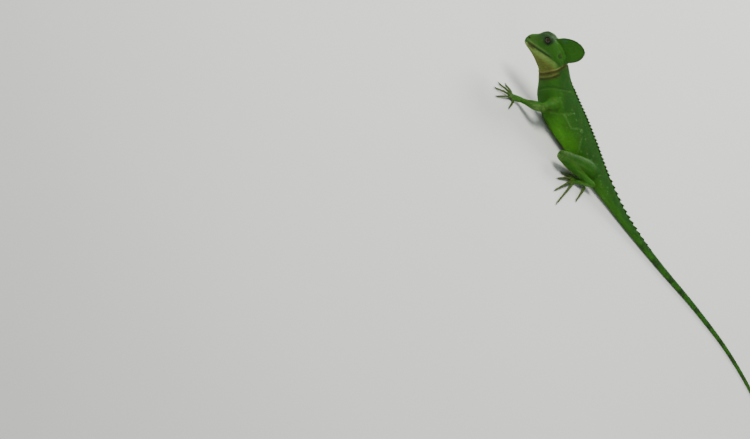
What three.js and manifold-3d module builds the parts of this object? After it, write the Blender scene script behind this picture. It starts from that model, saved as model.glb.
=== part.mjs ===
// A basilisk lizard at life size, resting on a floor with its neck raised and its nose tipped down.
// Millimetres. +X runs towards the head, +Y to the animal's left, +Z up.
// The vent, the soles and the tail rest on z = 0, and the origin ends up below the middle of the whole animal.
import * as THREE from "three";
import { mergeVertices } from "three/addons/utils/BufferGeometryUtils.js";
import Module from "manifold-3d";

const wasm = await Module();
wasm.setup();

const GAP = 0.3; // clear space between neighbouring parts
const UP = new THREE.Vector3(0, 0, 1);
const radians = THREE.MathUtils.degToRad;

// Driving sizes
const VENT_X = -12;
const TAIL_LENGTH = 475;
const SNOUT = new THREE.Vector3(180.1, 7.3, 42.8);
const HEAD_PITCH = radians(32); // nose down from level
const HEAD_YAW = radians(9); // nose turned to the animal's left
const HEAD_ROLL = radians(13); // crown tipped to the animal's right
const EYE_RADIUS = 5;
const LID_THICKNESS = 0.85;
const TOOTH_HEIGHT = 2.4;
const CLAW_RADIUS = 0.85;

// Trunk and neck stations. The place is about the x of the station's middle. Top and bottom are points of the
// side view, sway carries the bottom to the left, and the widest level is a share of the height.
// A ridge over 1 sharpens the back.
// place, top x, top z, bottom x, bottom z, sway, half width, widest level, ridge
const TRUNK = [
  [VENT_X, -12, 21.2, -12, -0.4, 0, 9.8, 0.46, 1.2],
  [2, 2, 24.8, 2, -0.4, 0, 11.8, 0.44, 1.2],
  [20, 20, 30.4, 20, -0.4, 0, 13.6, 0.42, 1.25],
  [39, 38, 36.2, 40, -0.4, 0, 16.2, 0.4, 1.3],
  [61, 58, 42, 64, -0.4, 0, 17.6, 0.4, 1.35],
  [82, 76, 46.6, 88, 0, 0, 17.4, 0.42, 1.35],
  [99, 91, 50, 107, 4.6, 0, 16.4, 0.44, 1.3],
  [113, 103, 53.2, 122.5, 12.6, 0.4, 14.2, 0.48, 1.2],
  [123.5, 113.5, 57.2, 132.5, 23.4, 1.8, 12.4, 0.5, 1.1],
  [133, 124.5, 63, 140, 31, 4, 11.6, 0.5, 1],
  [142, 135.5, 69, 147, 37.6, 6.2, 11, 0.5, 1],
];

// The tail behind the vent: distance along it, height, half width
const TAIL = [
  [0, 21.6, 9.8],
  [20, 16.8, 7.5],
  [44, 12.8, 5.7],
  [66, 10.6, 4.7],
  [100, 8.6, 3.9],
  [170, 6.4, 3],
  [290, 4.2, 2.05],
  [400, 2.7, 1.3],
  [TAIL_LENGTH, 1.3, 0.62],
];
const TAIL_SINK = 0.35; // how deep the round underside is cut by the floor
const TAIL_WIDEST = 0.46; // level of the tail's widest line, as a share of its height
const TAIL_RIDGE = 1.2;
const TAIL_ROUTE = new THREE.CatmullRomCurve3(
  [
    [VENT_X, 0], [-60, -1.5], [-120, -9], [-185, -21], [-250, -24],
    [-315, -8], [-368, 26], [-412, 72], [-432, 106],
  ].map(([x, y]) => new THREE.Vector3(x, y, 0)),
  false,
  "centripetal",
);

// Head stations, measured from the snout's tip: back along the head, then heights above its axis and half widths.
// back, crown height, brow half width, brow height, cheek half width, cheek height, lip half width, mouth height,
// jaw half width, jaw height, throat height
const HEAD = [
  [0, 2, 0.9, 1.8, 1.3, 1, 1.3, 0.4, 0.9, -0.6, -0.9],
  [0.5, 3.6, 1.6, 3.3, 2.2, 1.8, 2.2, 0.3, 1.7, -1.4, -1.8],
  [1.6, 6, 2.5, 5.7, 3.4, 2.8, 3.5, 0.2, 2.8, -2.5, -3.1],
  [4, 8.8, 3.8, 8.4, 5, 4, 5.3, -0.1, 4.4, -4, -5],
  [8, 10.3, 4.7, 10.2, 6.3, 4.8, 6.8, -0.7, 5.8, -6.2, -8],
  [12, 11.2, 5.8, 11.9, 7.4, 5, 8, -1.4, 7, -8, -11.2],
  [17, 12.6, 7.4, 16, 8.8, 5, 9.2, -2.3, 8.4, -9.8, -15.8],
  [22, 14, 8.4, 18, 10, 4.8, 10.2, -3.1, 9.6, -11.2, -21],
  [28, 14.8, 8.9, 17.3, 11.4, 4.4, 11.3, -4.1, 10.6, -12.8, -28],
  [34, 14, 9.2, 14, 12.6, 3.4, 12.3, -5.1, 11.4, -14.4, -33],
  [40, 11, 9.4, 10, 13.1, 0.4, 12.8, -6.6, 11.8, -16.6, -35],
  [46, 6, 8.8, 4.6, 12.3, -4, 11.8, -9.4, 10.8, -19.4, -36.4],
  [52, -1, 7.2, -2.6, 9.8, -9, 9.4, -13.6, 8.4, -22.6, -37.4],
];
const MOUTH_CORNER = 36; // how far back the mouth runs
const MOUTH_DEPTH = 0.9;
const LIP_HEIGHT = 0.75; // from the mouth's line to the edge of each lip

// Head coordinates (back, left, height) in the model's frame
const forward = new THREE.Vector3(Math.cos(HEAD_PITCH), 0, -Math.sin(HEAD_PITCH)).applyAxisAngle(UP, HEAD_YAW);
const leftward = new THREE.Vector3(0, 1, 0).applyAxisAngle(UP, HEAD_YAW).applyAxisAngle(forward, HEAD_ROLL);
const crownward = new THREE.Vector3().crossVectors(forward, leftward);
const headFrame = new THREE.Matrix4()
  .makeBasis(forward.clone().negate(), leftward, crownward)
  .setPosition(SNOUT);
const inHead = (back, left, height) =>
  new THREE.Vector3(back, left, height).applyMatrix4(headFrame);

// Smooth values between the rows of a table whose first column is the place, with no overshoot.
function between(rows, place) {
  let i = 0;
  while (i < rows.length - 2 && place > rows[i + 1][0]) i++;
  const slope = (n, column) =>
    (rows[n + 1][column] - rows[n][column]) / (rows[n + 1][0] - rows[n][0]);
  const tangent = (n, column) => {
    if (n === 0) return slope(0, column);
    if (n === rows.length - 1) return slope(n - 1, column);
    const before = slope(n - 1, column);
    const after = slope(n, column);
    return before * after <= 0 ? 0 : (2 * before * after) / (before + after);
  };
  const span = rows[i + 1][0] - rows[i][0];
  const t = (place - rows[i][0]) / span;
  return rows[i].slice(1).map((value, n) => {
    const next = rows[i + 1][n + 1];
    const leave = tangent(i, n + 1) * span;
    const arrive = tangent(i + 1, n + 1) * span;
    return (
      value * (2 * t ** 3 - 3 * t ** 2 + 1) + leave * (t ** 3 - 2 * t ** 2 + t) +
      next * (3 * t ** 2 - 2 * t ** 3) + arrive * (t ** 3 - t ** 2)
    );
  });
}

// count + 1 even steps from start to end
const steps = (start, end, count) =>
  Array.from({ length: count + 1 }, (_, i) => start + ((end - start) * i) / count);

// A closed solid from points and triangles, with its faces turned outwards.
function solidFrom(points, faces) {
  const vertProperties = new Float32Array(points.flatMap((p) => [p.x, p.y, p.z]));
  const make = (list) =>
    new wasm.Manifold(
      new wasm.Mesh({ numProp: 3, vertProperties, triVerts: new Uint32Array(list.flat()) }),
    );
  const solid = make(faces);
  return solid.volume() > 0 ? solid : make(faces.map(([a, b, c]) => [a, c, b]));
}

// A closed solid from one of three's own geometries.
function solidOf(geometry, matrix) {
  const bare = geometry.clone();
  bare.deleteAttribute("normal");
  bare.deleteAttribute("uv");
  const merged = mergeVertices(bare.applyMatrix4(matrix), 1e-4);
  const place = merged.getAttribute("position");
  const points = steps(0, place.count - 1, place.count - 1).map((i) =>
    new THREE.Vector3().fromBufferAttribute(place, Math.round(i)),
  );
  const index = Array.from(merged.index.array);
  const faces = [];
  for (let i = 0; i < index.length; i += 3) faces.push(index.slice(i, i + 3));
  return solidFrom(points, faces);
}

// A closed tube through rings of points, each end closed by a fan about its middle.
function tube(rings) {
  const around = rings[0].length;
  const middle = (ring) =>
    ring.reduce((sum, p) => sum.add(p), new THREE.Vector3()).divideScalar(around);
  const points = [...rings.flat(), middle(rings[0]), middle(rings.at(-1))];
  const faces = [];
  const last = (rings.length - 1) * around;
  for (let k = 0; k < around; k++) {
    const next = (k + 1) % around;
    faces.push([points.length - 2, next, k], [points.length - 1, last + k, last + next]);
    for (let row = 0; row < last; row += around)
      faces.push([row + k, row + next, row + around + k], [row + next, row + around + next, row + around + k]);
  }
  return solidFrom(points, faces);
}

const join = (solids) => wasm.Manifold.union(solids);
const largest = (solid) =>
  solid.decompose().reduce((best, piece) => (piece.volume() > best.volume() ? piece : best));

// What lies on the side of a plane that its normal points to, half a gap clear of it.
function beyond(solid, point, normal) {
  const unit = normal.clone().normalize();
  return solid.trimByPlane(unit.toArray(), unit.dot(point) + GAP / 2);
}
const behind = (solid, point, normal) => beyond(solid, point, normal.clone().negate());
const onFloor = (solid) => solid.trimByPlane([0, 0, 1], 0);
// A solid together with copies of itself set off by the gap, to cut its neighbour clear of it.
const clearanceOf = (solid) =>
  join([[0, 0, 0], [1, 0, 0], [-1, 0, 0], [0, 1, 0], [0, -1, 0], [0, 0, 1], [0, 0, -1]].map((way) =>
    solid.translate(way.map((n) => n * GAP)),
  ));

// One ring of the trunk or tail. Angle 0 is the middle of the back and angles run over the left side.
function bodyRing(place, sides, grow = 0) {
  const tailed = place < VENT_X;
  let middle, rise, side, height, half, widest, ridge;
  if (tailed) {
    const along = Math.min(VENT_X - place, TAIL_LENGTH);
    [height, half] = between(TAIL, along);
    const spot = TAIL_ROUTE.getPointAt(along / TAIL_LENGTH);
    const heading = TAIL_ROUTE.getTangentAt(along / TAIL_LENGTH).negate();
    side = new THREE.Vector3().crossVectors(UP, heading).normalize();
    rise = UP.clone();
    middle = spot.setZ(-TAIL_SINK);
    [widest, ridge] = [TAIL_WIDEST, TAIL_RIDGE];
  } else {
    const [topX, topZ, bottomX, bottomZ, sway, ...rest] = between(TRUNK, place);
    [half, widest, ridge] = rest;
    rise = new THREE.Vector3(topX - bottomX, -sway, topZ - bottomZ);
    height = rise.length();
    rise.normalize();
    side = new THREE.Vector3(0, 1, 0);
    middle = new THREE.Vector3(bottomX, sway, bottomZ);
  }
  return Array.from({ length: sides }, (_, k) => {
    const angle = (2 * Math.PI * k) / sides;
    const up = Math.cos(angle);
    const out = Math.sin(angle);
    const share = up > 0 ? widest + (1 - widest) * up : widest * (1 + up);
    const width = up > 0 ? Math.abs(out) ** ridge : Math.abs(out) ** 0.9;
    return middle
      .clone()
      .addScaledVector(rise, share * height + grow * up)
      .addScaledVector(side, Math.sign(out) * (half * width + grow * Math.abs(out)));
  });
}
const bodyTube = (places, sides, grow) => tube(places.map((place) => bodyRing(place, sides, grow)));
const backPoint = (place) => bodyRing(place, 4)[0];

// One ring of the head: crown to upper lip, the mouth's line, then lower lip to throat, on both sides.
function headRing(back) {
  const [crown, browHalf, browHeight, cheekHalf, cheekHeight, lipHalf, mouth, jawHalf, jawHeight, throat] =
    between(HEAD, back);
  const open = THREE.MathUtils.smoothstep(MOUTH_CORNER - back, 0, 4) * Math.min(1, lipHalf / 4);
  const lip = LIP_HEIGHT * Math.min(1, lipHalf / 4);
  const spline = (points, count) =>
    new THREE.SplineCurve(points.map(([y, z]) => new THREE.Vector2(y, z))).getPoints(count);
  const upper = spline(
    [[0, crown], [browHalf * 0.55, crown + (browHeight - crown) * 0.35], [browHalf, browHeight],
      [cheekHalf, cheekHeight], [lipHalf, mouth + lip]],
    9,
  );
  const lower = spline(
    [[lipHalf - 0.25, mouth - lip], [jawHalf, jawHeight], [jawHalf * 0.55, jawHeight * 0.45 + throat * 0.55],
      [0, throat]],
    6,
  );
  const half = [...upper, new THREE.Vector2(lipHalf - MOUTH_DEPTH * open, mouth), ...lower];
  const left = half.map((p) => inHead(back, p.x, p.y));
  const right = half.slice(1, -1).reverse().map((p) => inHead(back, -p.x, p.y));
  return [...left, ...right];
}

// A tube with round ends along a curve. Each row of sizes is: share of the length, half width, half height.
function softTube(points, sizes, count, sides) {
  const route = new THREE.CatmullRomCurve3(points, false, "centripetal");
  const ring = (spot, heading, halfWidth, halfHeight) => {
    const side = new THREE.Vector3().crossVectors(UP, heading).normalize();
    const rise = new THREE.Vector3().crossVectors(heading, side);
    return steps(0, sides - 1, sides - 1).map((k) => {
      const angle = (2 * Math.PI * k) / sides;
      return spot
        .clone()
        .addScaledVector(side, halfWidth * Math.cos(angle))
        .addScaledVector(rise, halfHeight * Math.sin(angle));
    });
  };
  const cap = (share, way) =>
    [20, 50].map((degrees) => {
      const [halfWidth, halfHeight] = between(sizes, share);
      const reach = way * Math.cos(radians(degrees)) * Math.min(halfWidth, halfHeight);
      const heading = route.getTangentAt(share);
      const spot = route.getPointAt(share).addScaledVector(heading, reach);
      const shrink = Math.sin(radians(degrees));
      return ring(spot, heading, halfWidth * shrink, halfHeight * shrink);
    });
  const body = steps(0, 1, count).map((share) =>
    ring(route.getPointAt(share), route.getTangentAt(share), ...between(sizes, share)),
  );
  return tube([...cap(0, -1), ...body, ...cap(1, 1).reverse()]);
}

const ball = (centre, radius, wide, high) =>
  solidOf(new THREE.SphereGeometry(radius, wide, high), new THREE.Matrix4().setPosition(centre));

// Serrated ridge: one low, backward-leaning scale, four-sided, its root sunk in the back
const TOOTH_SINK = 1.6;
const TOOTH_LEAN = 1.5; // how far the tip leans back, as a share of its height
function tooth(place, height, length, thickness) {
  const root = backPoint(place);
  const ahead = backPoint(place + 1).sub(backPoint(place - 1)).normalize();
  const side = new THREE.Vector3().crossVectors(UP, ahead).normalize();
  const rise = new THREE.Vector3().crossVectors(ahead, side);
  const cone = new THREE.ConeGeometry(1, 1, 4, 1).translate(0, 0.5, 0);
  const lean = ahead.clone().multiplyScalar(-TOOTH_LEAN * height);
  const shape = new THREE.Matrix4().makeBasis(
    side.multiplyScalar(thickness / 2),
    rise.clone().multiplyScalar(height + TOOTH_SINK).add(lean),
    ahead.clone().multiplyScalar(length / 2),
  );
  shape.setPosition(root.addScaledVector(rise, -TOOTH_SINK).addScaledVector(ahead, TOOTH_LEAN * height * 0.45));
  return solidOf(cone, shape);
}

// Places along the back, spaced by a spacing that may change on the way
function spaced(start, end, spacing) {
  const found = [];
  for (let place = start; place > end; place -= spacing(place)) found.push(place);
  return found;
}
const NAPE_PLACE = 124;
const TEETH_END = -100;
const toothSpacing = (place) => (place > 0 ? 4.7 : 7.6) * (place > 110 ? 0.85 : 1);
const teeth = spaced(NAPE_PLACE, TEETH_END, toothSpacing).map((place) => {
  const fade = Math.min(1, (NAPE_PLACE + 6 - place) / 24, (place - TEETH_END + 25) / 70);
  const height = TOOTH_HEIGHT * fade;
  return { place, solid: tooth(place, height, place > 0 ? 5.2 : 6.4, 1.7 * (0.55 + 0.45 * fade)) };
});
const teethBetween = (low, high) => teeth.filter((t) => t.place > low && t.place <= high).map((t) => t.solid);

// Cutting planes between head, neck, torso and the lengths of the tail
const NECK_CUT = { point: new THREE.Vector3(132, 0, 46.6), normal: new THREE.Vector3(0.964, 0, 0.267) };
const TORSO_CUT = { point: new THREE.Vector3(113, 0, 34), normal: new THREE.Vector3(0.872, 0, 0.49) };
const tailCut = (along) => ({
  point: TAIL_ROUTE.getPointAt(along / TAIL_LENGTH),
  normal: TAIL_ROUTE.getTangentAt(along / TAIL_LENGTH).negate(),
});
const VENT_CUT = { point: new THREE.Vector3(VENT_X, 0, 0), normal: new THREE.Vector3(1, 0, 0) };

// Head: skull and throat, the bulge and lids of each eye, nostrils, ears and the mouth's line
const EYE = { back: 27.3, left: 6.8, height: 11.9 };
const NOSTRIL = { back: 4.6, left: 5, height: 6.2, radius: 0.85 };
const EAR = { back: 46.5, left: 13.4, height: 0.6, radius: 2.9 };
const LIDS = { reach: 8, start: 2.4, outerRadius: 5, innerRadius: 3.7 }; // the cone cut out between the lids
const eyeCentre = (side) => inHead(EYE.back, side * EYE.left, EYE.height);
const gaze = (side) =>
  inHead(EYE.back - 1.6, side * (EYE.left + 6), EYE.height + 0.8).sub(eyeCentre(side)).normalize();
function eyeOpening(side) {
  const pose = new THREE.Matrix4().compose(
    eyeCentre(side).addScaledVector(gaze(side), LIDS.reach / 2 + LIDS.start),
    new THREE.Quaternion().setFromUnitVectors(new THREE.Vector3(0, 1, 0), gaze(side)),
    new THREE.Vector3(1, 1, 1),
  );
  return solidOf(new THREE.CylinderGeometry(LIDS.outerRadius, LIDS.innerRadius, LIDS.reach, 18), pose);
}
function headSolid() {
  const places = [0, 0.5, 1.6, 2.8, ...steps(4.5, 51, 22)];
  let solid = tube(places.map(headRing));
  for (const side of [1, -1]) {
    solid = solid.add(ball(eyeCentre(side), EYE_RADIUS + GAP + LID_THICKNESS, 16, 10));
    solid = solid.subtract(ball(eyeCentre(side), EYE_RADIUS + GAP, 16, 10)).subtract(eyeOpening(side));
    for (const { back, left, height, radius } of [NOSTRIL, EAR])
      solid = solid.subtract(ball(inHead(back, side * left, height), radius, 12, 8));
  }
  return solid;
}

// Crest: a thin round flap on the crown and nape, thick at its root and thin at its rim
const CREST_MIDDLE = [52, 6];
const CREST_RIM = [
  [32.5, 14.6], [40.3, 18.4], [46.1, 20.2], [51.7, 20.9], [57.2, 20.7], [61.7, 19.5], [65.6, 17.4], [68.8, 14.6],
  [70.5, 10.9], [70.3, 6.6], [68.3, 2.2], [65.4, -1], [62, -3.5], [57, -6.3], [49, -10], [38, -3],
];
const CREST_ROOT_HALF = 3.1;
const CREST_RIM_HALF = 0.7;
function crestSolid() {
  const corners = [...CREST_RIM, CREST_RIM[0]].map(([a, b]) => new THREE.Vector2(a, b));
  const rim = new THREE.SplineCurve(corners).getPoints(32).slice(0, -1);
  const shares = [0.25, 0.5, 0.75, 0.93];
  const thick = (a, b) => {
    const out = THREE.MathUtils.smoothstep(((a - 42) * 0.66 + (b - 2) * 0.75) / 26, 0, 1);
    return CREST_ROOT_HALF + (CREST_RIM_HALF - CREST_ROOT_HALF) * out;
  };
  const [midA, midB] = CREST_MIDDLE;
  const at = (p, share) => [midA + (p.x - midA) * share, midB + (p.y - midB) * share];
  const points = [];
  const faces = [];
  for (const side of [1, -1]) {
    points.push(inHead(midA, side * thick(midA, midB), midB));
    for (const share of shares)
      for (const p of rim) {
        const [a, b] = at(p, share);
        const taper = share > 0.9 ? 0.8 : 1;
        points.push(inHead(a, side * thick(a, b) * taper, b));
      }
  }
  const sideStart = points.length / 2;
  const rimStart = points.length;
  for (const p of rim) points.push(inHead(p.x, 0, p.y));
  const count = rim.length;
  const outer = 1 + (shares.length - 1) * count;
  for (let k = 0; k < count; k++) {
    const next = (k + 1) % count;
    for (const [start, flip] of [[0, false], [sideStart, true]]) {
      const face = (a, b, c) => faces.push(flip ? [a, c, b] : [a, b, c]);
      face(start, start + 1 + k, start + 1 + next);
      for (let row = 0; row < shares.length - 1; row++) {
        const inner = start + 1 + row * count;
        face(inner + k, inner + count + k, inner + next);
        face(inner + next, inner + count + k, inner + count + next);
      }
      face(start + outer + k, rimStart + k, start + outer + next);
      face(start + outer + next, rimStart + k, rimStart + next);
    }
  }
  return solidFrom(points, faces);
}

// Hands and feet: a flat palm or instep, tapering digits that spread and arch a little, and a curved claw on each
function digit({ from, heading, length, root, tip, arch }) {
  const way = new THREE.Vector3(Math.cos(radians(heading)), Math.sin(radians(heading)), 0);
  const spot = (share, z) => new THREE.Vector3(...from, 0).addScaledVector(way, length * share).setZ(z);
  const toe = softTube(
    [spot(0, root + 0.8), spot(0.35, root * 0.8 + arch), spot(0.7, tip + arch * 0.6), spot(1, tip - 0.12)],
    [[0, root, root], [0.36, root * 0.78, root * 0.8], [0.68, tip * 1.12, tip * 1.15], [1, tip, tip]],
    5,
    6,
  );
  const grip = length / 14 + 2.4;
  const claw = softTube(
    [
      spot(1, tip * 0.9),
      spot(1, tip * 1.35).addScaledVector(way, grip * 0.55),
      spot(1, 0.45).addScaledVector(way, grip),
    ],
    [[0, CLAW_RADIUS, CLAW_RADIUS], [0.5, CLAW_RADIUS * 0.62, CLAW_RADIUS * 0.8], [1, 0.14, 0.16]],
    3,
    5,
  );
  return [toe, claw];
}
// Each limb bends at its middle joint, and its end is the wrist or heel. The base is where the digits start.
// A digit is: heading in degrees from +X towards +Y, and how far it reaches.
const ARM = [[0, 7.4, 8.4], [0.4, 8.2, 9], [0.75, 5.9, 6.4], [1, 5.2, 5.2]];
const FOREARM = [[0, 5.2, 5.3], [0.3, 5.4, 5.6], [0.75, 3.7, 3.4], [1, 3.5, 2.9]];
const THIGH = [[0, 6.2, 6.8], [0.4, 9.4, 10.2], [0.75, 7.4, 8], [1, 6.3, 6.6]];
const SHANK = [[0, 6.2, 6.6], [0.28, 6.5, 7], [0.7, 4.4, 4.6], [1, 3.9, 3.8]];
const HAND = { half: 4.6, root: 1.7, tip: 1.05, arch: 1.7, outer: 0.7 };
const FOOT = { half: 4.6, root: 2.1, tip: 1.2, arch: 1.9, outer: 0.3 };
const LIMBS = {
  fore_left: {
    root: [97, 4, 29], bend: [106, 33, 23], end: [128, 32, 6], base: [137, 38],
    sizes: [ARM, FOREARM], paw: HAND, lift: 2,
    digits: [[-22, 13], [14, 19], [42, 24], [66, 26], [104, 18]],
  },
  fore_right: {
    root: [95, -4, 29], bend: [86, -33, 22], end: [104, -42, 6], base: [112, -47],
    sizes: [ARM, FOREARM], paw: HAND, lift: 2,
    digits: [[30, 13], [-2, 19], [-30, 24], [-54, 26], [-92, 18]],
  },
  hind_left: {
    root: [5, 3, 13.5], bend: [48.4, 47, 15.5], end: [1, 20, 10], base: [18, 36],
    sizes: [THIGH, SHANK], paw: FOOT, lift: 2,
    digits: [[46, 17], [67, 28], [85, 46], [97, 60], [101, 29]],
  },
  hind_right: {
    root: [5, -3, 11.5], bend: [52, -27, 9], end: [5, -25, 8], base: [28, -34],
    sizes: [THIGH, SHANK], paw: FOOT, lift: 0.6,
    digits: [[-2, 17], [-14, 28], [-25, 45], [-35, 56], [-50, 29]],
  },
};

// A limb in three solids: its upper part, its lower part, and its hand or foot.
function limbParts(limb) {
  const [root, bend, end] = [limb.root, limb.bend, limb.end].map((p) => new THREE.Vector3(...p));
  const [upperSizes, lowerSizes] = limb.sizes;
  const { half, root: rootRadius, tip: tipRadius, arch, outer } = limb.paw;
  const base = new THREE.Vector3(...limb.base, 2.3);
  const bow = (a, b, lift) => a.clone().lerp(b, 0.5).add(new THREE.Vector3(0, 0, lift));
  const upper = softTube([root, bow(root, bend, limb.lift), bend], upperSizes, 9, 12);
  const lower = softTube([bend, bow(bend, end, -0.6), end], lowerSizes, 9, 12);
  const sole = softTube(
    [end.clone(), end.clone().lerp(base, 0.45), base],
    [[0, 3.7, 3.4], [0.5, half * 0.9, 3.1], [1, half, 2.1]],
    5,
    10,
  );
  const across = new THREE.Vector3().crossVectors(UP, base.clone().sub(end)).normalize();
  const side = Math.sign(limb.end[1]);
  const toes = limb.digits.flatMap(([heading, length], n) => {
    const from = n === limb.digits.length - 1 ? end.clone().lerp(base, outer) : base.clone();
    from.addScaledVector(across, (n - 2) * half * 0.4 * side);
    return digit({ from: [from.x, from.y], heading, length, root: rootRadius, tip: tipRadius, arch });
  });
  const bendNormal = root.clone().sub(bend).normalize().sub(end.clone().sub(bend).normalize());
  const endNormal = bend.clone().sub(end).normalize().sub(base.clone().sub(end).normalize());
  return {
    upper: beyond(upper, bend, bendNormal),
    lower: beyond(behind(lower, bend, bendNormal), end, endNormal),
    paw: behind(onFloor(join([sole, ...toes])), end, endNormal),
  };
}

// Solids
const trunkPlaces = steps(-34, 142, 36);
const trunkTube = bodyTube(trunkPlaces, 24);
const trunkGrown = bodyTube(trunkPlaces, 24, GAP);
const clearOfTrunk = join([trunkGrown, ...teeth.map((t) => clearanceOf(t.solid))]);
const skull = headSolid();
const headAndNeck = skull.add(trunkTube);
const head = beyond(headAndNeck, NECK_CUT.point, NECK_CUT.normal);
const neckRough = join([headAndNeck, ...teethBetween(108, 130)]);
const neck = beyond(behind(neckRough, NECK_CUT.point, NECK_CUT.normal), TORSO_CUT.point, TORSO_CUT.normal);
const torsoRough = join([trunkTube, ...teethBetween(VENT_X - 4, 126)]);
const torso = onFloor(beyond(behind(torsoRough, TORSO_CUT.point, TORSO_CUT.normal), VENT_CUT.point, VENT_CUT.normal));
const crest = crestSolid().subtract(clearanceOf(head)).subtract(clearanceOf(neck));

const TAIL_CUTS = [0, 78, 190, 330, TAIL_LENGTH + 5];
const tailNames = ["tail_base", "tail_front", "tail_rear", "tail_tip"];
const tailSides = [20, 16, 12, 10];
const tailRings = [14, 16, 18, 18];
const tailParts = tailNames.map((name, n) => {
  const [near, far] = [TAIL_CUTS[n], TAIL_CUTS[n + 1]];
  const span = [VENT_X - near + 10, VENT_X - Math.min(far + 8, TAIL_LENGTH)];
  const rough = join([
    bodyTube(steps(...span, tailRings[n]), tailSides[n]),
    ...teethBetween(VENT_X - far - 4, VENT_X - near + 4),
  ]);
  const { point, normal } = tailCut(near);
  let part = behind(onFloor(rough), point, normal);
  if (far < TAIL_LENGTH) {
    const cut = tailCut(far);
    part = beyond(part, cut.point, cut.normal);
  }
  return part;
});

// Finishes
const skin = (color, roughness = 0.62) => new THREE.MeshStandardMaterial({ color, roughness, metalness: 0 });
const FINISH = {
  back: skin(0x2f6a22),
  head: skin(0x3a7526),
  crest: skin(0x2f6d1e),
  limb: skin(0x3d7a2c),
  foot: skin(0x5d6f3a),
  tail: skin(0x2e5f24),
  eye: skin(0x2a1c0c, 0.15),
};

const model = new THREE.Group();
const wholeBox = new THREE.Box3();

// A named mesh whose own origin is the given joint or pivot.
function addPart(group, name, solid, finish, pivot) {
  const kept = largest(solid).getMesh();
  const position = [];
  for (let i = 0; i < kept.numVert; i++)
    for (let n = 0; n < 3; n++) position.push(kept.vertProperties[i * kept.numProp + n] - pivot.getComponent(n));
  const geometry = new THREE.BufferGeometry()
    .setAttribute("position", new THREE.Float32BufferAttribute(position, 3))
    .setIndex(Array.from(kept.triVerts));
  geometry.computeVertexNormals();
  const mesh = new THREE.Mesh(geometry, finish);
  mesh.name = name;
  mesh.position.copy(pivot);
  group.add(mesh);
  wholeBox.union(new THREE.Box3().setFromBufferAttribute(geometry.getAttribute("position")).translate(pivot));
}

const origin = new THREE.Vector3();
addPart(model, "torso", torso, FINISH.back, origin);
addPart(model, "neck", neck, FINISH.back, TORSO_CUT.point);
const headGroup = new THREE.Group();
addPart(headGroup, "head", head, FINISH.head, NECK_CUT.point);
addPart(headGroup, "head_crest", crest, FINISH.crest, inHead(...[CREST_MIDDLE[0], 0, CREST_MIDDLE[1]]));
for (const [name, side] of [["eye_left", 1], ["eye_right", -1]])
  addPart(headGroup, name, ball(eyeCentre(side), EYE_RADIUS, 14, 10), FINISH.eye, eyeCentre(side));
model.add(headGroup);
tailParts.forEach((part, n) => addPart(model, tailNames[n], part, FINISH.tail, tailCut(TAIL_CUTS[n]).point));

const LIMB_NAMES = {
  fore: ["upper_arm", "forearm", "hand"],
  hind: ["thigh", "shank", "foot"],
};
for (const [key, limb] of Object.entries(LIMBS)) {
  const [pair, side] = key.split("_");
  const { upper, lower, paw } = limbParts(limb);
  const group = new THREE.Group();
  const [upperName, lowerName, pawName] = LIMB_NAMES[pair].map((part) => `${part}_${side}`);
  const near = clearanceOf(upper);
  const shin = lower.subtract(trunkGrown).subtract(near);
  addPart(group, upperName, upper.subtract(clearOfTrunk), FINISH.limb, new THREE.Vector3(...limb.root));
  addPart(group, lowerName, shin, FINISH.limb, new THREE.Vector3(...limb.bend));
  addPart(group, pawName, paw.subtract(trunkGrown).subtract(near), FINISH.foot, new THREE.Vector3(...limb.end));
  model.add(group);
}

// The origin is on the floor, below the middle of the animal's box.
const centre = wholeBox.getCenter(new THREE.Vector3());
model.position.set(-centre.x, -centre.y, -wholeBox.min.z);

export default model;
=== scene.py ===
# %% [markdown]
# # A green basilisk, life size
# The model is a lizard resting on a pale floor: one skin over the whole body, a coat of small overlapping
# scales on it, a saw-toothed ridge along the back, a thin crest behind the head, claws and glossy eyes.
# The CAD solids are loaded first. They give the place and size of everything, and stay as the hidden frame.

import math

import bmesh
import bpy
import numpy as np
from mathutils import Matrix, Vector
from mathutils.bvhtree import BVHTree
from mathutils.kdtree import KDTree


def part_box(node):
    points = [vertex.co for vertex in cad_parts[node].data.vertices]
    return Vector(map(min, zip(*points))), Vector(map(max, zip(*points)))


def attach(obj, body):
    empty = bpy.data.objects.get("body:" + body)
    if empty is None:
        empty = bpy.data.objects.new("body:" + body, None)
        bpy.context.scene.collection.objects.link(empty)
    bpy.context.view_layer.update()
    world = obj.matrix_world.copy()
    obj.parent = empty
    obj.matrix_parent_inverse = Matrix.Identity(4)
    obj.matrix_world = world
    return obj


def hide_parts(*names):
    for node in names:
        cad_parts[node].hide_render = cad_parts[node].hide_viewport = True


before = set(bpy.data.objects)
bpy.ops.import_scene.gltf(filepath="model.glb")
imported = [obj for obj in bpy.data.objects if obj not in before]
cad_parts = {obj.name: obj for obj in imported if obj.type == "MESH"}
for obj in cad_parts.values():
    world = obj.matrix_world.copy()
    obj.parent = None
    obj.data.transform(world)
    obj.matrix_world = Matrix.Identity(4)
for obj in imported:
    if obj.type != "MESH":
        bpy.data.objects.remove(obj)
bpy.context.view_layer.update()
MM = 0.001
rng = np.random.default_rng(7)

# %% [markdown]
# ## The sizes that shape the animal
# Every form below is a loft: rings of points set along a line. Each table row is one station of such a loft,
# in millimetres. The x axis runs from the vent towards the head, y to the animal's left and z up, with the
# vent at x = -12. Later the whole is moved to the frame's own origin.

# %% Tables of stations
VENT_X = -12.0
TAIL_LENGTH = 475.0
SNOUT = np.array([180.1, 7.3, 42.8])
HEAD_PITCH, HEAD_YAW, HEAD_ROLL = (math.radians(v) for v in (32, 9, 13))

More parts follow.
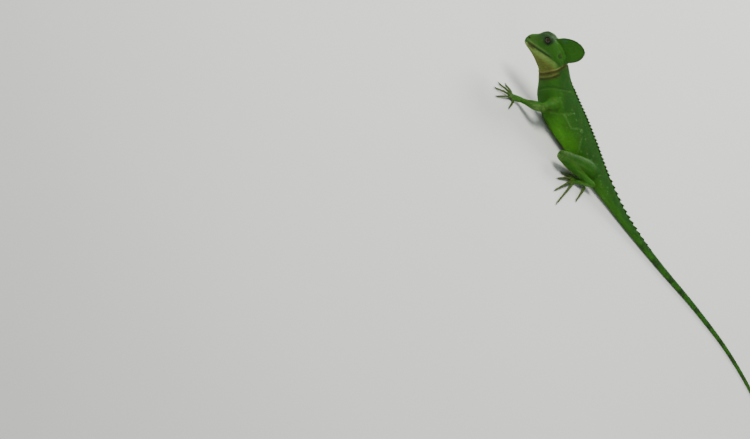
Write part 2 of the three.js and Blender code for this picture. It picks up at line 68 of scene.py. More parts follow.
# place, top x, top z, bottom x, bottom z, sway of the bottom, half width, widest level, ridge
TRUNK = [
    [VENT_X, -12, 21.2, -12, -0.4, 0, 9.8, 0.46, 1.2],
    [2, 2, 24.8, 2, -0.4, 0, 11.8, 0.44, 1.2],
    [20, 20, 30.4, 20, -0.4, 0, 13.6, 0.42, 1.25],
    [39, 38, 36.2, 40, -0.4, 0, 16.2, 0.4, 1.3],
    [61, 58, 42, 64, -0.4, 0, 17.6, 0.4, 1.35],
    [82, 76, 46.6, 88, 0, 0, 17.4, 0.42, 1.35],
    [99, 91, 50, 107, 4.6, 0, 16.4, 0.44, 1.3],
    [113, 103, 53.2, 122.5, 12.6, 0.4, 14.2, 0.48, 1.2],
    [123.5, 113.5, 57.2, 132.5, 23.4, 1.8, 12.4, 0.5, 1.1],
    [133, 124.5, 63, 140, 31, 4, 11.6, 0.5, 1],
    [142, 135.5, 69, 147, 37.6, 6.2, 11, 0.5, 1],
]
# distance behind the vent, height, half width
TAIL = [
    [0, 21.6, 9.8],
    [20, 16.8, 7.5],
    [44, 12.8, 5.7],
    [66, 10.6, 4.7],
    [100, 8.6, 3.9],
    [170, 6.4, 3],
    [290, 4.2, 2.05],
    [400, 2.7, 1.3],
    [TAIL_LENGTH, 1.3, 0.62],
]
TAIL_SINK = 0.35
TAIL_POINTS = [
    [VENT_X, 0], [-60, -1.5], [-120, -9], [-185, -21], [-250, -24], [-315, -8], [-368, 26], [-412, 72],
    [-432, 106],
]
# back from the snout, crown height, brow half width, brow height, cheek half width, cheek height,
# lip half width, mouth height, jaw half width, jaw height, throat height
HEAD = [
    [0, 2, 0.9, 1.8, 1.3, 1, 1.3, 0.4, 0.9, -0.6, -0.9],
    [0.5, 3.6, 1.6, 3.3, 2.2, 1.8, 2.2, 0.3, 1.7, -1.4, -1.8],
    [1.6, 6, 2.5, 5.7, 3.4, 2.8, 3.5, 0.2, 2.8, -2.5, -3.1],
    [4, 8.8, 3.8, 8.4, 5, 4, 5.3, -0.1, 4.4, -4, -5],
    [8, 10.3, 4.7, 10.2, 6.3, 4.8, 6.8, -0.7, 5.8, -6.2, -8],
    [12, 11.2, 5.8, 11.9, 7.4, 5, 8, -1.4, 7, -8, -11.2],
    [17, 12.6, 7.4, 16, 8.8, 5, 9.2, -2.3, 8.4, -9.8, -15.8],
    [22, 14, 8.4, 18, 10, 4.8, 10.2, -3.1, 9.6, -11.2, -21],
    [28, 14.8, 8.9, 17.3, 11.4, 4.4, 11.3, -4.1, 10.6, -12.8, -28],
    [34, 14, 9.2, 14, 12.6, 3.4, 12.3, -5.1, 11.4, -14.4, -33],
    [40, 11, 9.4, 10, 13.1, 0.4, 12.8, -6.6, 11.8, -16.6, -35],
    [46, 6, 8.8, 4.6, 12.3, -4, 11.8, -9.4, 10.8, -19.4, -36.4],
    [52, -1, 7.2, -2.6, 9.8, -9, 9.4, -13.6, 8.4, -22.6, -37.4],
]
HEAD_LENGTH, MOUTH_CORNER = 52, 36.0
MOUTH_DEPTH = 0.9
LIP_HEIGHT = 0.75
EYE = (27.3, 6.8, 11.9)  # back, left, height
EYE_RADIUS = 5.0
NOSTRIL = (4.6, 5.0, 6.2)
EAR = (46.5, 13.4, 0.6)
CREST_MIDDLE = np.array([52.0, 6.0])
CREST_RIM = [
    [32.5, 14.6], [40.3, 18.4], [46.1, 20.2], [51.7, 20.9], [57.2, 20.7], [61.7, 19.5], [65.6, 17.4],
    [68.8, 14.6], [70.5, 10.9], [70.3, 6.6], [68.3, 2.2], [65.4, -1], [62, -3.5], [57, -6.3], [49, -10],
    [38, -3],
]
CREST_ROOT_HALF, CREST_RIM_HALF = 3.1, 0.7
CREST_FOOT, CREST_REACH = (42, 2), 26
COAT_DEPTH = 0.28  # the skin lies this far inside the solids, and the scales fill it
SKIN_CLEAR, COAT_CLEAR = 0.02, 0.01  # lowest level of the skin and of the scales over the floor

# Limbs: share of the length, half width, half height
ARM = [[0, 7.4, 8.4], [0.4, 8.2, 9], [0.75, 5.9, 6.4], [1, 5.2, 5.2]]
FOREARM = [[0, 5.2, 5.3], [0.3, 5.4, 5.6], [0.75, 3.7, 3.4], [1, 3.5, 2.9]]
THIGH = [[0, 6.2, 6.8], [0.4, 9.4, 10.2], [0.75, 7.4, 8], [1, 6.3, 6.6]]
SHANK = [[0, 6.2, 6.6], [0.28, 6.5, 7], [0.7, 4.4, 4.6], [1, 3.9, 3.8]]
HAND = {"half": 4.6, "root": 1.7, "tip": 1.05, "arch": 1.7, "outer": 0.7}
FOOT = {"half": 4.6, "root": 2.1, "tip": 1.2, "arch": 1.9, "outer": 0.3}
CLAW_RADIUS = 0.85
LIMBS = {
    "fore_left": dict(
        root=[97, 4, 29], bend=[106, 33, 23], end=[128, 32, 6], base=[137, 38],
        sizes=(ARM, FOREARM), paw=HAND, lift=2, digits=[[-22, 13], [14, 19], [42, 24], [66, 26], [104, 18]]),
    "fore_right": dict(
        root=[95, -4, 29], bend=[86, -33, 22], end=[104, -42, 6], base=[112, -47],
        sizes=(ARM, FOREARM), paw=HAND, lift=2, digits=[[30, 13], [-2, 19], [-30, 24], [-54, 26], [-92, 18]]),
    "hind_left": dict(
        root=[5, 3, 13.5], bend=[48.4, 47, 15.5], end=[1, 20, 10], base=[18, 36],
        sizes=(THIGH, SHANK), paw=FOOT, lift=2, digits=[[46, 17], [67, 28], [85, 46], [97, 60], [101, 29]]),
    "hind_right": dict(
        root=[5, -3, 11.5], bend=[52, -27, 9], end=[5, -25, 8], base=[28, -34],
        sizes=(THIGH, SHANK), paw=FOOT, lift=0.6,
        digits=[[-2, 17], [-14, 28], [-25, 45], [-35, 56], [-50, 29]]),
}
print("stations: trunk", len(TRUNK), "tail", len(TAIL), "head", len(HEAD), "limbs", len(LIMBS))

# %% [markdown]
# ## Head coordinates
# The head is pitched down, turned a little to its left and rolled. Its own axes are worked out once, so that
# any feature can be given as (back, left, height) from the tip of the snout. The left eye of the CAD model
# then tells where the frame's origin is.

# %% The head's axes and the shift to the frame
UP = np.array([0.0, 0.0, 1.0])


def turn(vector, axis, angle):
    return np.array(Matrix.Rotation(angle, 3, Vector(axis)) @ Vector(vector))


forward = turn([math.cos(HEAD_PITCH), 0, -math.sin(HEAD_PITCH)], UP, HEAD_YAW)
leftward = turn(turn([0, 1, 0], UP, HEAD_YAW), forward, HEAD_ROLL)
crownward = np.cross(forward, leftward)
HEAD_AXES = np.array([-forward, leftward, crownward])


def in_head(back, left, height):
    return SNOUT + np.stack(np.broadcast_arrays(back, left, height), -1) @ HEAD_AXES


def to_head(points):
    return (np.asarray(points) - SNOUT) @ HEAD_AXES.T


eye_low, eye_high = (np.array(c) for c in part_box("eye_left"))
SHIFT = (eye_low + eye_high) / 2 / MM - in_head(*EYE)
print("shift to the frame in mm:", SHIFT.round(2))

# %% [markdown]
# ## Camera, floor and light
# The photo was taken with a long lens, from the animal's left. The lizard lay on a slanting trunk there. Here
# it lies on a level floor, so the camera looks down a little and is turned about its own line of sight until
# the body leans as it does in the photo.

# %% Camera
def put(name, data):
    """Put a camera, lamp or mesh into the scene."""
    made = bpy.data.objects.new(name, data)
    bpy.context.scene.collection.objects.link(made)
    return made


PHOTO_MM = 1.15  # size on the animal of one pixel of the photo
CAMERA_HEIGHT = math.radians(30)
CAMERA_DISTANCE = 4790.0
VENT_PIXEL = (592.5, 185.0)
PHOTO_WIDTH, PHOTO_HEIGHT = 750, 439
CAMERA_LEAN = math.radians(36.0)
SENSOR = 36
towards = np.array([0, math.cos(CAMERA_HEIGHT), math.sin(CAMERA_HEIGHT)])
away_up = np.array([0, -math.sin(CAMERA_HEIGHT), math.cos(CAMERA_HEIGHT)])
headward = np.array([1.0, 0, 0])
right = -math.sin(CAMERA_LEAN) * headward + math.cos(CAMERA_LEAN) * away_up
upward = math.cos(CAMERA_LEAN) * headward + math.sin(CAMERA_LEAN) * away_up
aim = (
    right * (PHOTO_WIDTH / 2 - VENT_PIXEL[0]) * PHOTO_MM
    + upward * (VENT_PIXEL[1] - PHOTO_HEIGHT / 2) * PHOTO_MM)
camera_data = bpy.data.cameras.new("camera")
camera_data.sensor_width = SENSOR
camera_data.lens = SENSOR * CAMERA_DISTANCE / (PHOTO_WIDTH * PHOTO_MM)
camera_data.clip_end = 50
camera = put("camera", camera_data)
pose = Matrix((right, upward, towards)).transposed().to_4x4()
pose.translation = Vector((aim + towards * CAMERA_DISTANCE + SHIFT) * MM)
camera.matrix_world = pose
bpy.context.scene.camera = camera
print("lens", round(camera_data.lens, 1), "mm at", [round(c, 3) for c in pose.translation])

# %% Small material helpers
def new_material(name):
    material = bpy.data.materials.new(name)
    material.use_nodes = True
    tree = material.node_tree
    tree.nodes.clear()
    output = tree.nodes.new("ShaderNodeOutputMaterial")
    shader = tree.nodes.new("ShaderNodeBsdfPrincipled")
    tree.links.new(shader.outputs[0], output.inputs[0])
    return material, tree, shader


def settle(tree, node, values):
    """Set inputs of a node to plain values, or link other nodes' outputs to them."""
    for key, value in values.items():
        socket = node.inputs[key]
        if isinstance(value, bpy.types.NodeSocket):
            tree.links.new(value, socket)
        else:
            socket.default_value = value
    return node


def add_node(tree, kind, inputs=None, **settings):
    node = tree.nodes.new(kind)
    for key, value in settings.items():
        setattr(node, key, value)
    return settle(tree, node, inputs or {})


def linear(red, green, blue):
    """Scene-linear colour from the 0-255 values that a picture shows."""
    c = np.array([red, green, blue]) / 255
    return np.where(c <= 0.04045, c / 12.92, ((c + 0.055) / 1.055) ** 2.4)

# %% Floor and lights
floor_material, tree, shader = new_material("pale_floor")
grain = add_node(tree, "ShaderNodeTexNoise", {"Scale": 40.0, "Detail": 4.0})
tone = add_node(tree, "ShaderNodeMix", {0: grain.outputs["Fac"]}, data_type="RGBA")
settle(tree, tone, {6: (0.62, 0.62, 0.6, 1), 7: (0.68, 0.68, 0.66, 1)})
settle(tree, shader, {"Base Color": tone.outputs[2], "Roughness": 0.75})
FLOOR_REACH, FLOOR_DROP = 8.0, 0.0002  # metres
floor_mesh = bpy.data.meshes.new("floor")
corners = [(x * FLOOR_REACH, y * FLOOR_REACH, -FLOOR_DROP) for x, y in ((-1, -1), (1, -1), (1, 1), (-1, 1))]
floor_mesh.from_pydata(corners, [], [(0, 1, 2, 3)])
floor_mesh.materials.append(floor_material)
floor = put("floor", floor_mesh)

world = bpy.data.worlds.new("studio")
bpy.context.scene.world = world
world.use_nodes = True
tree = world.node_tree
settle(tree, tree.nodes["Background"], {"Color": (0.9, 0.95, 1.0, 1), "Strength": 0.45})


def softbox(name, place, target, size, power, colour):
    """A round lamp of one size in metres and one power in watts, turned to a target."""
    data = bpy.data.lights.new(name, "AREA")
    data.shape = "DISK"
    data.size = size
    data.energy = power
    data.color = colour
    turned = (Vector(target) - Vector(place)).to_track_quat("-Z", "Y")
    put(name, data).matrix_world = Matrix.Translation(place) @ turned.to_matrix().to_4x4()


softbox("key", (0.7, 0.1, 1.5), (0.15, 0, 0), 0.8, 30, (1, 0.98, 0.92))
softbox("fill", (-0.9, 1.2, 0.8), (0.1, 0, 0), 1.0, 6, (0.94, 0.98, 1))
softbox("rim", (0.3, -1.4, 0.9), (0.15, 0, 0.03), 0.7, 22, (0.97, 1, 0.92))
print("stage set")

# %% [markdown]
# ## Lofts in numbers
# A smooth curve through the rows of a table gives the size at any place. It has no overshoot, so a taper
# stays a taper. A path through a few points is walked at even steps, and rings along it make a closed tube.

# %% Curves and tubes
def between(rows, places):
    """Smooth values between the rows of a table, which hold a place first."""
    rows = np.asarray(rows, float)
    places = np.atleast_1d(np.asarray(places, float))
    x, y = rows[:, 0], rows[:, 1:]
    slopes = np.diff(y, axis=0) / np.diff(x)[:, None]
    tangents = np.vstack([slopes[:1], np.zeros_like(slopes[1:]), slopes[-1:]])
    before, after = slopes[:-1], slopes[1:]
    product, total = before * after, before + after
    tangents[1:-1] = np.where(product > 0, 2 * product / np.where(total == 0, 1, total), 0)
    i = np.clip(np.searchsorted(x, places, side="left") - 1, 0, len(x) - 2)
    span = (x[i + 1] - x[i])[:, None]
    t = ((places - x[i]) / (x[i + 1] - x[i]))[:, None]
    return (
        y[i] * (2 * t**3 - 3 * t**2 + 1) + tangents[i] * span * (t**3 - 2 * t**2 + t)
        + y[i + 1] * (3 * t**2 - 2 * t**3) + tangents[i + 1] * span * (t**3 - t**2)
    )


class Path:
    """A smooth curve through points, walked by its own length."""

    STEPS, NUDGE = 60, 0.004

    def __init__(self, points):
        p = np.array([[*q, 0][:3] for q in points], float)
        p = np.vstack([2 * p[0] - p[1], p, 2 * p[-1] - p[-2]])
        spots = []
        for a, b, c, d in zip(p, p[1:], p[2:], p[3:]):
            ta, tb, tc = (max(np.linalg.norm(v) ** 0.5, 1e-6) for v in (b - a, c - b, d - c))
            leave = ((b - a) / ta - (c - a) / (ta + tb) + (c - b) / tb) * tb
            arrive = ((c - b) / tb - (d - b) / (tb + tc) + (d - c) / tc) * tb
            t = np.linspace(0, 1, self.STEPS, endpoint=False)[:, None]
            spots.append(
                b * (2 * t**3 - 3 * t**2 + 1) + leave * (t**3 - 2 * t**2 + t)
                + c * (3 * t**2 - 2 * t**3) + arrive * (t**3 - t**2)
            )
        self.spots = np.vstack([*spots, p[-2:-1]])
        self.run = run_along(self.spots)
        self.length = self.run[-1]

    def at(self, shares):
        s = np.atleast_1d(shares) * self.length
        return np.stack([np.interp(s, self.run, self.spots[:, k]) for k in range(3)], -1)

    def heading(self, shares):
        shares = np.atleast_1d(shares)
        ahead = self.at(np.minimum(shares + self.NUDGE, 1))
        step = ahead - self.at(np.maximum(shares - self.NUDGE, 0))
        return step / np.linalg.norm(step, axis=1, keepdims=True)


def tree_of(spots):
    """A tree that finds the nearest of many points."""
    tree = KDTree(len(spots))
    for i, spot in enumerate(spots):
        tree.insert(spot, i)
    tree.balance()
    return tree


def turn_angles(count):
    return 2 * np.pi * np.arange(count) / count


def run_along(line):
    """Length walked along a line up to each of its points."""
    return np.concatenate([[0], np.cumsum(np.linalg.norm(np.diff(line, axis=0), axis=1))])


def unit(v):
    return v / np.maximum(np.linalg.norm(v, axis=-1, keepdims=True), 1e-9)


def smooth(edge0, edge1, x):
    t = np.clip((x - edge0) / (edge1 - edge0), 0, 1)
    return t * t * (3 - 2 * t)


def tube_faces(rows, around):
    """Quads between rings, with a fan over each end. The two middle points come last."""
    r, k = np.meshgrid(np.arange(rows - 1), np.arange(around), indexing="ij")
    n = (k + 1) % around
    row, above = r * around, (r + 1) * around
    quads = np.stack([row + k, row + n, above + n, above + k], -1).reshape(-1, 4)
    first, last, tail = rows * around, rows * around + 1, (rows - 1) * around
    fans = [[first, b, a] for a, b in zip(k[0], n[0])]
    return quads.tolist() + fans + [[last, tail + a, tail + b] for a, b in zip(k[0], n[0])]


def tube(rings):
    rows, around = rings.shape[:2]
    points = np.vstack([rings.reshape(-1, 3), rings[0].mean(0), rings[-1].mean(0)])
    return points, tube_faces(rows, around)


print("curves and tubes ready")

# %% [markdown]
# ## Trunk and tail
# One loft runs from the neck to the tip of the tail. The trunk's rings lean, because the animal holds its
# shoulders up, and the tail's rings follow a path on the floor.

# %% The body's rings
tail_path = Path(TAIL_POINTS)
TAIL_WIDEST, TAIL_RIDGE, BELLY_ROUND = 0.46, 1.2, 0.9


def body_rings(places, sides, grow=0.0):
    """Rings across trunk and tail. An angle of 0 is the ridge, and the left side comes first."""
    places = np.asarray(places, float)
    trunk = between(TRUNK, np.clip(places, VENT_X, None))
    along = np.clip(VENT_X - places, 0, TAIL_LENGTH)
    tail = between(TAIL, along)
    tailed = (places < VENT_X)[:, None]
    zero = np.zeros(len(places))
    top = np.stack([trunk[:, 0], zero, trunk[:, 1]], -1)
    bottom = np.stack([trunk[:, 2], trunk[:, 4], trunk[:, 3]], -1)
    spot = tail_path.at(along / TAIL_LENGTH)
    heading = -tail_path.heading(along / TAIL_LENGTH)
    spot[:, 2] = -TAIL_SINK
    middle = np.where(tailed, spot, bottom)
    height = np.where(tailed[:, 0], tail[:, 0], np.linalg.norm(top - bottom, axis=1))[:, None]
    rise = np.where(tailed, UP, unit(top - bottom))
    side = np.where(tailed, unit(np.cross(UP, heading)), np.array([0, 1.0, 0]))
    half = np.where(tailed[:, 0], tail[:, 1], trunk[:, 5])[:, None]
    widest = np.where(tailed[:, 0], TAIL_WIDEST, trunk[:, 6])[:, None]
    ridge = np.where(tailed[:, 0], TAIL_RIDGE, trunk[:, 7])[:, None]
    angle = turn_angles(sides) if np.isscalar(sides) else sides
    angle = np.broadcast_to(angle, (len(places), np.shape(angle)[-1]))
    up, out = np.cos(angle), np.sin(angle)
    share = np.where(up > 0, widest + (1 - widest) * up, widest * (1 + up))
    width = np.where(up > 0, np.abs(out) ** ridge, np.abs(out) ** BELLY_ROUND)
    return (
        middle[:, None] + rise[:, None] * (share * height + grow * up)[..., None]
        + side[:, None] * (np.sign(out) * (half * width + grow * np.abs(out)))[..., None]
    )

# %% [markdown]
# ## Head
# Each ring of the head runs from the crown over brow, cheek and upper lip to the mouth's line, and on over
# lower lip and jaw to the throat. The mouth is a groove between the lips.

# %% The head's rings
def spline(points, count):
    """Even steps along a Catmull-Rom curve through flat points."""
    p = np.asarray(points, float)
    p = np.vstack([p[0], p, p[-1]])
    t = np.linspace(0, len(points) - 1, count + 1)
    i = np.clip(t.astype(int), 0, len(points) - 2)
    w = (t - i)[:, None]
    a, b, c, d = p[i], p[i + 1], p[i + 2], p[i + 3]
    leave, arrive = (c - a) / 2, (d - b) / 2
    return (
        (2 * b - 2 * c + leave + arrive) * w**3 + (-3 * b + 3 * c - 2 * leave - arrive) * w**2
        + leave * w + b)


UPPER_STEPS, LOWER_STEPS, CREST_STEPS = 27, 18, 72
CREST_SHARES = (0.0, 0.25, 0.5, 0.75, 0.93, 1.0)


def head_half(back, grow=0.0):
    """Left half of a ring as (left, height): upper rows, one point in the mouth's groove, lower rows."""
    crown, brow_half, brow, cheek_half, cheek, lip_half, mouth, jaw_half, jaw, throat = between(HEAD, back)[0]
    small = min(1, lip_half / 4)
    opened = smooth(0, 4, MOUTH_CORNER - back) * small
    lip = LIP_HEIGHT * small
    upper = spline(
        [[0, crown], [brow_half * 0.55, crown + (brow - crown) * 0.35], [brow_half, brow],
         [cheek_half, cheek], [lip_half, mouth + lip]], UPPER_STEPS)
    lower = spline(
        [[lip_half - 0.25, mouth - lip], [jaw_half, jaw], [jaw_half * 0.55, jaw * 0.45 + throat * 0.55],
         [0, throat]], LOWER_STEPS)
    half = np.vstack([upper, [[lip_half - MOUTH_DEPTH * opened, mouth]], lower])
    middle = np.array([0, (crown + throat) / 2])
    half = half + unit(half - middle) * grow
    half[[0, -1], 0] = 0
    return half


def head_rings(backs, grow=0.0):
    rings = []
    for back in backs:
        half = head_half(back, grow)
        other = half[1:-1][::-1] * [-1, 1]
        whole = np.vstack([half, other])
        rings.append(in_head(back, whole[:, 0], whole[:, 1]))
    return np.array(rings)


def crest_out(back, height):
    """0 where the crest grows from the head, 1 near its free rim."""
    return ((back - CREST_FOOT[0]) * 0.66 + (height - CREST_FOOT[1]) * 0.75) / CREST_REACH


def crest_half(flat):
    return CREST_ROOT_HALF + (CREST_RIM_HALF - CREST_ROOT_HALF) * smooth(0, 1, crest_out(*flat.T))


def crest_rings():
    """Rings of (back, height) from the crest's middle to its rim, with its half thickness at each."""
    rim = spline(CREST_RIM + CREST_RIM[:1], CREST_STEPS)[:-1]
    found = []
    for share in CREST_SHARES:
        flat = CREST_MIDDLE + (rim - CREST_MIDDLE) * share
        found.append((flat, crest_half(flat) * (0.8 if 0.9 < share < 1 else 1) * (share < 1)))
    return found

# %% [markdown]
# ## Limbs and digits
# A limb is made of soft tubes with round ends: upper part, lower part, palm or instep, and five digits.

# %% Soft tubes
CAP_DEGREES = (15, 35, 60)


def oval(spot, heading, half_width, half_height, sides):
    """One ring across a heading."""
    side = unit(np.cross(UP, heading))
    rise = np.cross(heading, side)
    angle = turn_angles(sides)
    return spot + np.outer(half_width * np.cos(angle), side) + np.outer(half_height * np.sin(angle), rise)


def soft_tube(points, sizes, count, sides, grow=0.0):
    """Rings of a tube whose two ends are rounded off."""
    path = Path(points)
    shares = np.linspace(0, 1, count + 1)
    ends = []
    for share, way in ((0.0, -1), (1.0, 1)):
        half = between(sizes, share)[0] + grow
        caps = [
            (path.at(share)[0] + path.heading(share)[0] * way * math.cos(math.radians(d)) * half.min(),
             path.heading(share)[0], half * math.sin(math.radians(d))) for d in CAP_DEGREES]
        ends.append(caps if way < 0 else caps[::-1])
    body = list(zip(path.at(shares), path.heading(shares), between(sizes, shares) + grow))
    rows = [*ends[0], *body, *ends[1]]
    return np.array([oval(spot, heading, *halves, sides) for spot, heading, halves in rows])


def digit_path(start, heading, length, root, tip, arch):
    """Path and sizes of one arched digit on the floor, and the path of its claw."""
    way = np.array([math.cos(math.radians(heading)), math.sin(math.radians(heading)), 0])

    def spot(share, z):
        return np.array([start[0], start[1], 0]) + way * length * share + UP * z

    toe = [
        spot(0, root + 0.8), spot(0.35, root * 0.8 + arch), spot(0.7, tip + arch * 0.6), spot(1, tip - 0.12)]
    sizes = [[0, root, root], [0.36, root * 0.78, root * 0.8], [0.68, tip * 1.12, tip * 1.15], [1, tip, tip]]
    grip = length / 14 + 2.4
    claw = [spot(1, tip * 0.9), spot(1, tip * 1.35) + way * grip * 0.55, spot(1, 0.45) + way * grip]
    return toe, sizes, claw


def limb_forms(limb):
    """Every tube of a limb as (name, path points, sizes), and the path of each claw."""
    root, bend, end = (np.array(limb[k], float) for k in ("root", "bend", "end"))
    base = np.array([*limb["base"], 2.3])
    paw = limb["paw"]
    forms = [
        ("upper", [root, (root + bend) / 2 + UP * limb["lift"], bend], limb["sizes"][0]),
        ("lower", [bend, (bend + end) / 2 - UP * 0.6, end], limb["sizes"][1]),
        ("sole", [end, end + (base - end) * 0.45, base],
         [[0, 3.7, 3.4], [0.5, paw["half"] * 0.9, 3.1], [1, paw["half"], 2.1]]),
    ]
    across = unit(np.cross(UP, base - end))
    side = math.copysign(1, limb["end"][1])
    claws = []
    for n, (heading, length) in enumerate(limb["digits"]):
        start = end + (base - end) * paw["outer"] if n == 4 else base
        start = start + across * (n - 2) * paw["half"] * 0.4 * side
        toe, sizes, claw = digit_path(start, heading, length, paw["root"], paw["tip"], paw["arch"])
        forms.append((f"digit_{n + 1}", toe, sizes))
        claws.append(claw)
    return forms, claws


limb_list = {name: limb_forms(limb) for name, limb in LIMBS.items()}
print("tubes in limbs:", sum(len(forms) for forms, _ in limb_list.values()))

# %% [markdown]
# ## Where each point of the skin belongs
# Colour and scales follow the body, not the axes of the room. So every loft point keeps its zone, its place
# along the form, its angle round it and the direction towards its end. Any point of the skin looks up its
# nearest loft point and takes these over.

# %% Loft samples and one closed mesh of all tubes
ZONES = ["body", "head", "crest", "upper_arm", "forearm", "hand", "thigh", "shank", "foot"]
sample = {key: [] for key in ("spot", "zone", "place", "angle", "lie", "side")}
shell_points, shell_faces = [], []


def add_shell(points, faces, all_points=shell_points, all_faces=shell_faces):
    start = sum(len(p) for p in all_points)
    all_points.append(points)
    all_faces.extend([[i + start for i in face] for face in faces])


def add_rows(zone, side, spot, lie, place, angle):
    zones, sides = np.full(len(spot), ZONES.index(zone)), np.full(len(spot), side)
    for key, value in zip(sample, (spot, zones, place, angle, lie, sides)):
        sample[key].append(value)


def add_samples(rings, zone, places, side=0.0):
    count, around = rings.shape[:2]
    lie = unit(np.gradient(rings, axis=0)).reshape(-1, 3)
    angles = np.tile(turn_angles(around), count)
    add_rows(zone, side, rings.reshape(-1, 3), lie, np.repeat(places, around), angles)


def off_floor(rings):
    rings[..., 2] = np.maximum(rings[..., 2], SKIN_CLEAR)
    return rings


body_places = np.concatenate([np.arange(142, -110, -1.2), np.arange(-110, -VENT_X - TAIL_LENGTH - 12, -2.0)])
body_places = body_places[body_places > VENT_X - TAIL_LENGTH + 0.5]
rings = off_floor(body_rings(body_places, 72, -COAT_DEPTH))
add_shell(*tube(rings))
add_samples(rings, "body", body_places)

head_backs = np.concatenate([[0.15, 0.5, 1.0, 1.6, 2.4], np.arange(3.2, 52, 0.7)])
rings = head_rings(head_backs, -COAT_DEPTH)
head_tube = tube(rings)
add_samples(rings, "head", head_backs)

for name, (forms, claws) in limb_list.items():
    front = name.startswith("fore")
    names = {"upper": "upper_arm" if front else "thigh", "lower": "forearm" if front else "shank"}
    for part, points, sizes in forms:
        sides, depth = (20, COAT_DEPTH * 0.6) if part.startswith("digit") else (36, COAT_DEPTH)
        rings = off_floor(soft_tube(points, sizes, 26, sides, -depth))
        add_shell(*tube(rings))
        zone = names.get(part, "hand" if front else "foot")
        shares = np.linspace(-1, 0, len(rings)) if part == "sole" else np.linspace(0, 1, len(rings))
        add_samples(rings, zone, shares, side=1.0 if "left" in name else -1.0)
print("loft samples:", sum(len(s) for s in sample["spot"]))

# %% [markdown]
# ## One skin
# The head gets its eye bulges, sockets, nostrils and ear pits with Boolean cuts. Then all the closed tubes
# are joined, remeshed into one even surface, smoothed where limbs meet the trunk, and thinned where it is
# plain.

# %% Meshes, cuts and the eye's axes
def new_object(name, points, faces):
    mesh = bpy.data.meshes.new(name)
    spots = ((np.asarray(points) + SHIFT) * MM).tolist()
    mesh.from_pydata(spots, [], [list(map(int, face)) for face in faces])
    mesh.update()
    return put(name, mesh)


def outward(made):
    """Turn all faces so that they look out."""
    b = bmesh.new()
    b.from_mesh(made.data)
    bmesh.ops.recalc_face_normals(b, faces=b.faces)
    b.to_mesh(made.data)
    b.free()
    return made


def shade_smooth(made):
    for polygon in made.data.polygons:
        polygon.use_smooth = True
    return made


def store(mesh, key, kind, values):
    """Keep one value for each point of a mesh under a name."""
    field = {"FLOAT": "value", "FLOAT_VECTOR": "vector", "FLOAT_COLOR": "color"}[kind]
    mesh.attributes.new(key, kind, "POINT").data.foreach_set(field, np.asarray(values, np.float32).ravel())


def sphere_rings(polar, around):
    """Rings of a ball of radius 1, at angles from its own z axis."""
    turn_by = turn_angles(around)
    return np.stack([
        np.outer(np.sin(polar), np.cos(turn_by)), np.outer(np.sin(polar), np.sin(turn_by)),
        np.repeat(np.cos(polar)[:, None], around, 1)], -1)


def ball(name, centre, radius, stretch=(1, 1, 1), axes=np.eye(3), rows=24, around=32):
    """A ball, or one stretched along its axes, closed by its two poles."""
    polar = np.linspace(0, np.pi, rows + 2)[1:-1]
    points, faces = tube(centre + (sphere_rings(polar, around) * radius * np.array(stretch)) @ axes)
    pole = np.array([0, 0, radius * stretch[2]]) @ axes
    points[-2], points[-1] = centre + pole, centre - pole
    return outward(new_object(name, points, faces))


def boolean(target, tool, operation):
    modifier = target.modifiers.new("cut", "BOOLEAN")
    modifier.operation = operation
    modifier.object = tool
    modifier.solver = "EXACT"


def apply_modifiers(made):
    graph = bpy.context.evaluated_depsgraph_get()
    mesh = bpy.data.meshes.new_from_object(made.evaluated_get(graph))
    old = made.data
    made.modifiers.clear()
    made.data = mesh
    bpy.data.meshes.remove(old)
    return made


def vertex_places(made):
    flat = np.empty(len(made.data.vertices) * 3)
    made.data.vertices.foreach_get("co", flat)
    return flat.reshape(-1, 3) / MM - SHIFT


def take_shell(made):
    """Add an object's mesh to the shell, and drop the object."""
    add_shell(vertex_places(made), [list(p.vertices) for p in made.data.polygons])
    bpy.data.objects.remove(made)


def eye_frame(side):
    """Centre of an eye, its line of sight, and its axes: across, upright and along the sight."""
    back, left, height = EYE
    centre = in_head(back, side * left, height)
    gaze = unit(in_head(back - 1.6, side * (left + 6), height + 0.8) - centre)
    across = unit(np.cross(gaze, UP))
    return centre, gaze, np.array([across, np.cross(gaze, across), gaze])

# %% Cut the head
LID_THICKNESS, LID_GAP = 1.15, 0.12
OPENING_OUT, OPENING_UP, OPENING_RADIUS, OPENING_STRETCH = 5.6, 0.2, 4.0, (1.12, 0.86, 1.0)
EAR_PIT, NOSTRIL_PIT = 2.6, 1.2
head_piece = outward(new_object("head_form", *head_tube))
tools = []
for side in (1, -1):
    centre, gaze, axes = eye_frame(side)
    bulge = ball("bulge", centre, EYE_RADIUS + LID_THICKNESS - COAT_DEPTH)
    hollow = ball("hollow", centre, EYE_RADIUS + LID_GAP)
    opening = ball(
        "opening", centre + gaze * OPENING_OUT + axes[1] * OPENING_UP, OPENING_RADIUS, OPENING_STRETCH, axes)
    ear = ball("ear_pit", in_head(EAR[0], side * (EAR[1] + 0.2), EAR[2]), EAR_PIT, (1, 0.5, 1), HEAD_AXES)
    nostril_spot = in_head(NOSTRIL[0], side * NOSTRIL[1], NOSTRIL[2])
    nostril = ball("nostril_pit", nostril_spot, NOSTRIL_PIT, rows=10, around=14)
    boolean(head_piece, bulge, "UNION")
    for tool in (hollow, opening, ear, nostril):
        boolean(head_piece, tool, "DIFFERENCE")
    tools += [bulge, hollow, opening, ear, nostril]
apply_modifiers(head_piece)
for tool in tools:
    bpy.data.objects.remove(tool)
take_shell(head_piece)
print("head cut with", len(tools), "balls")

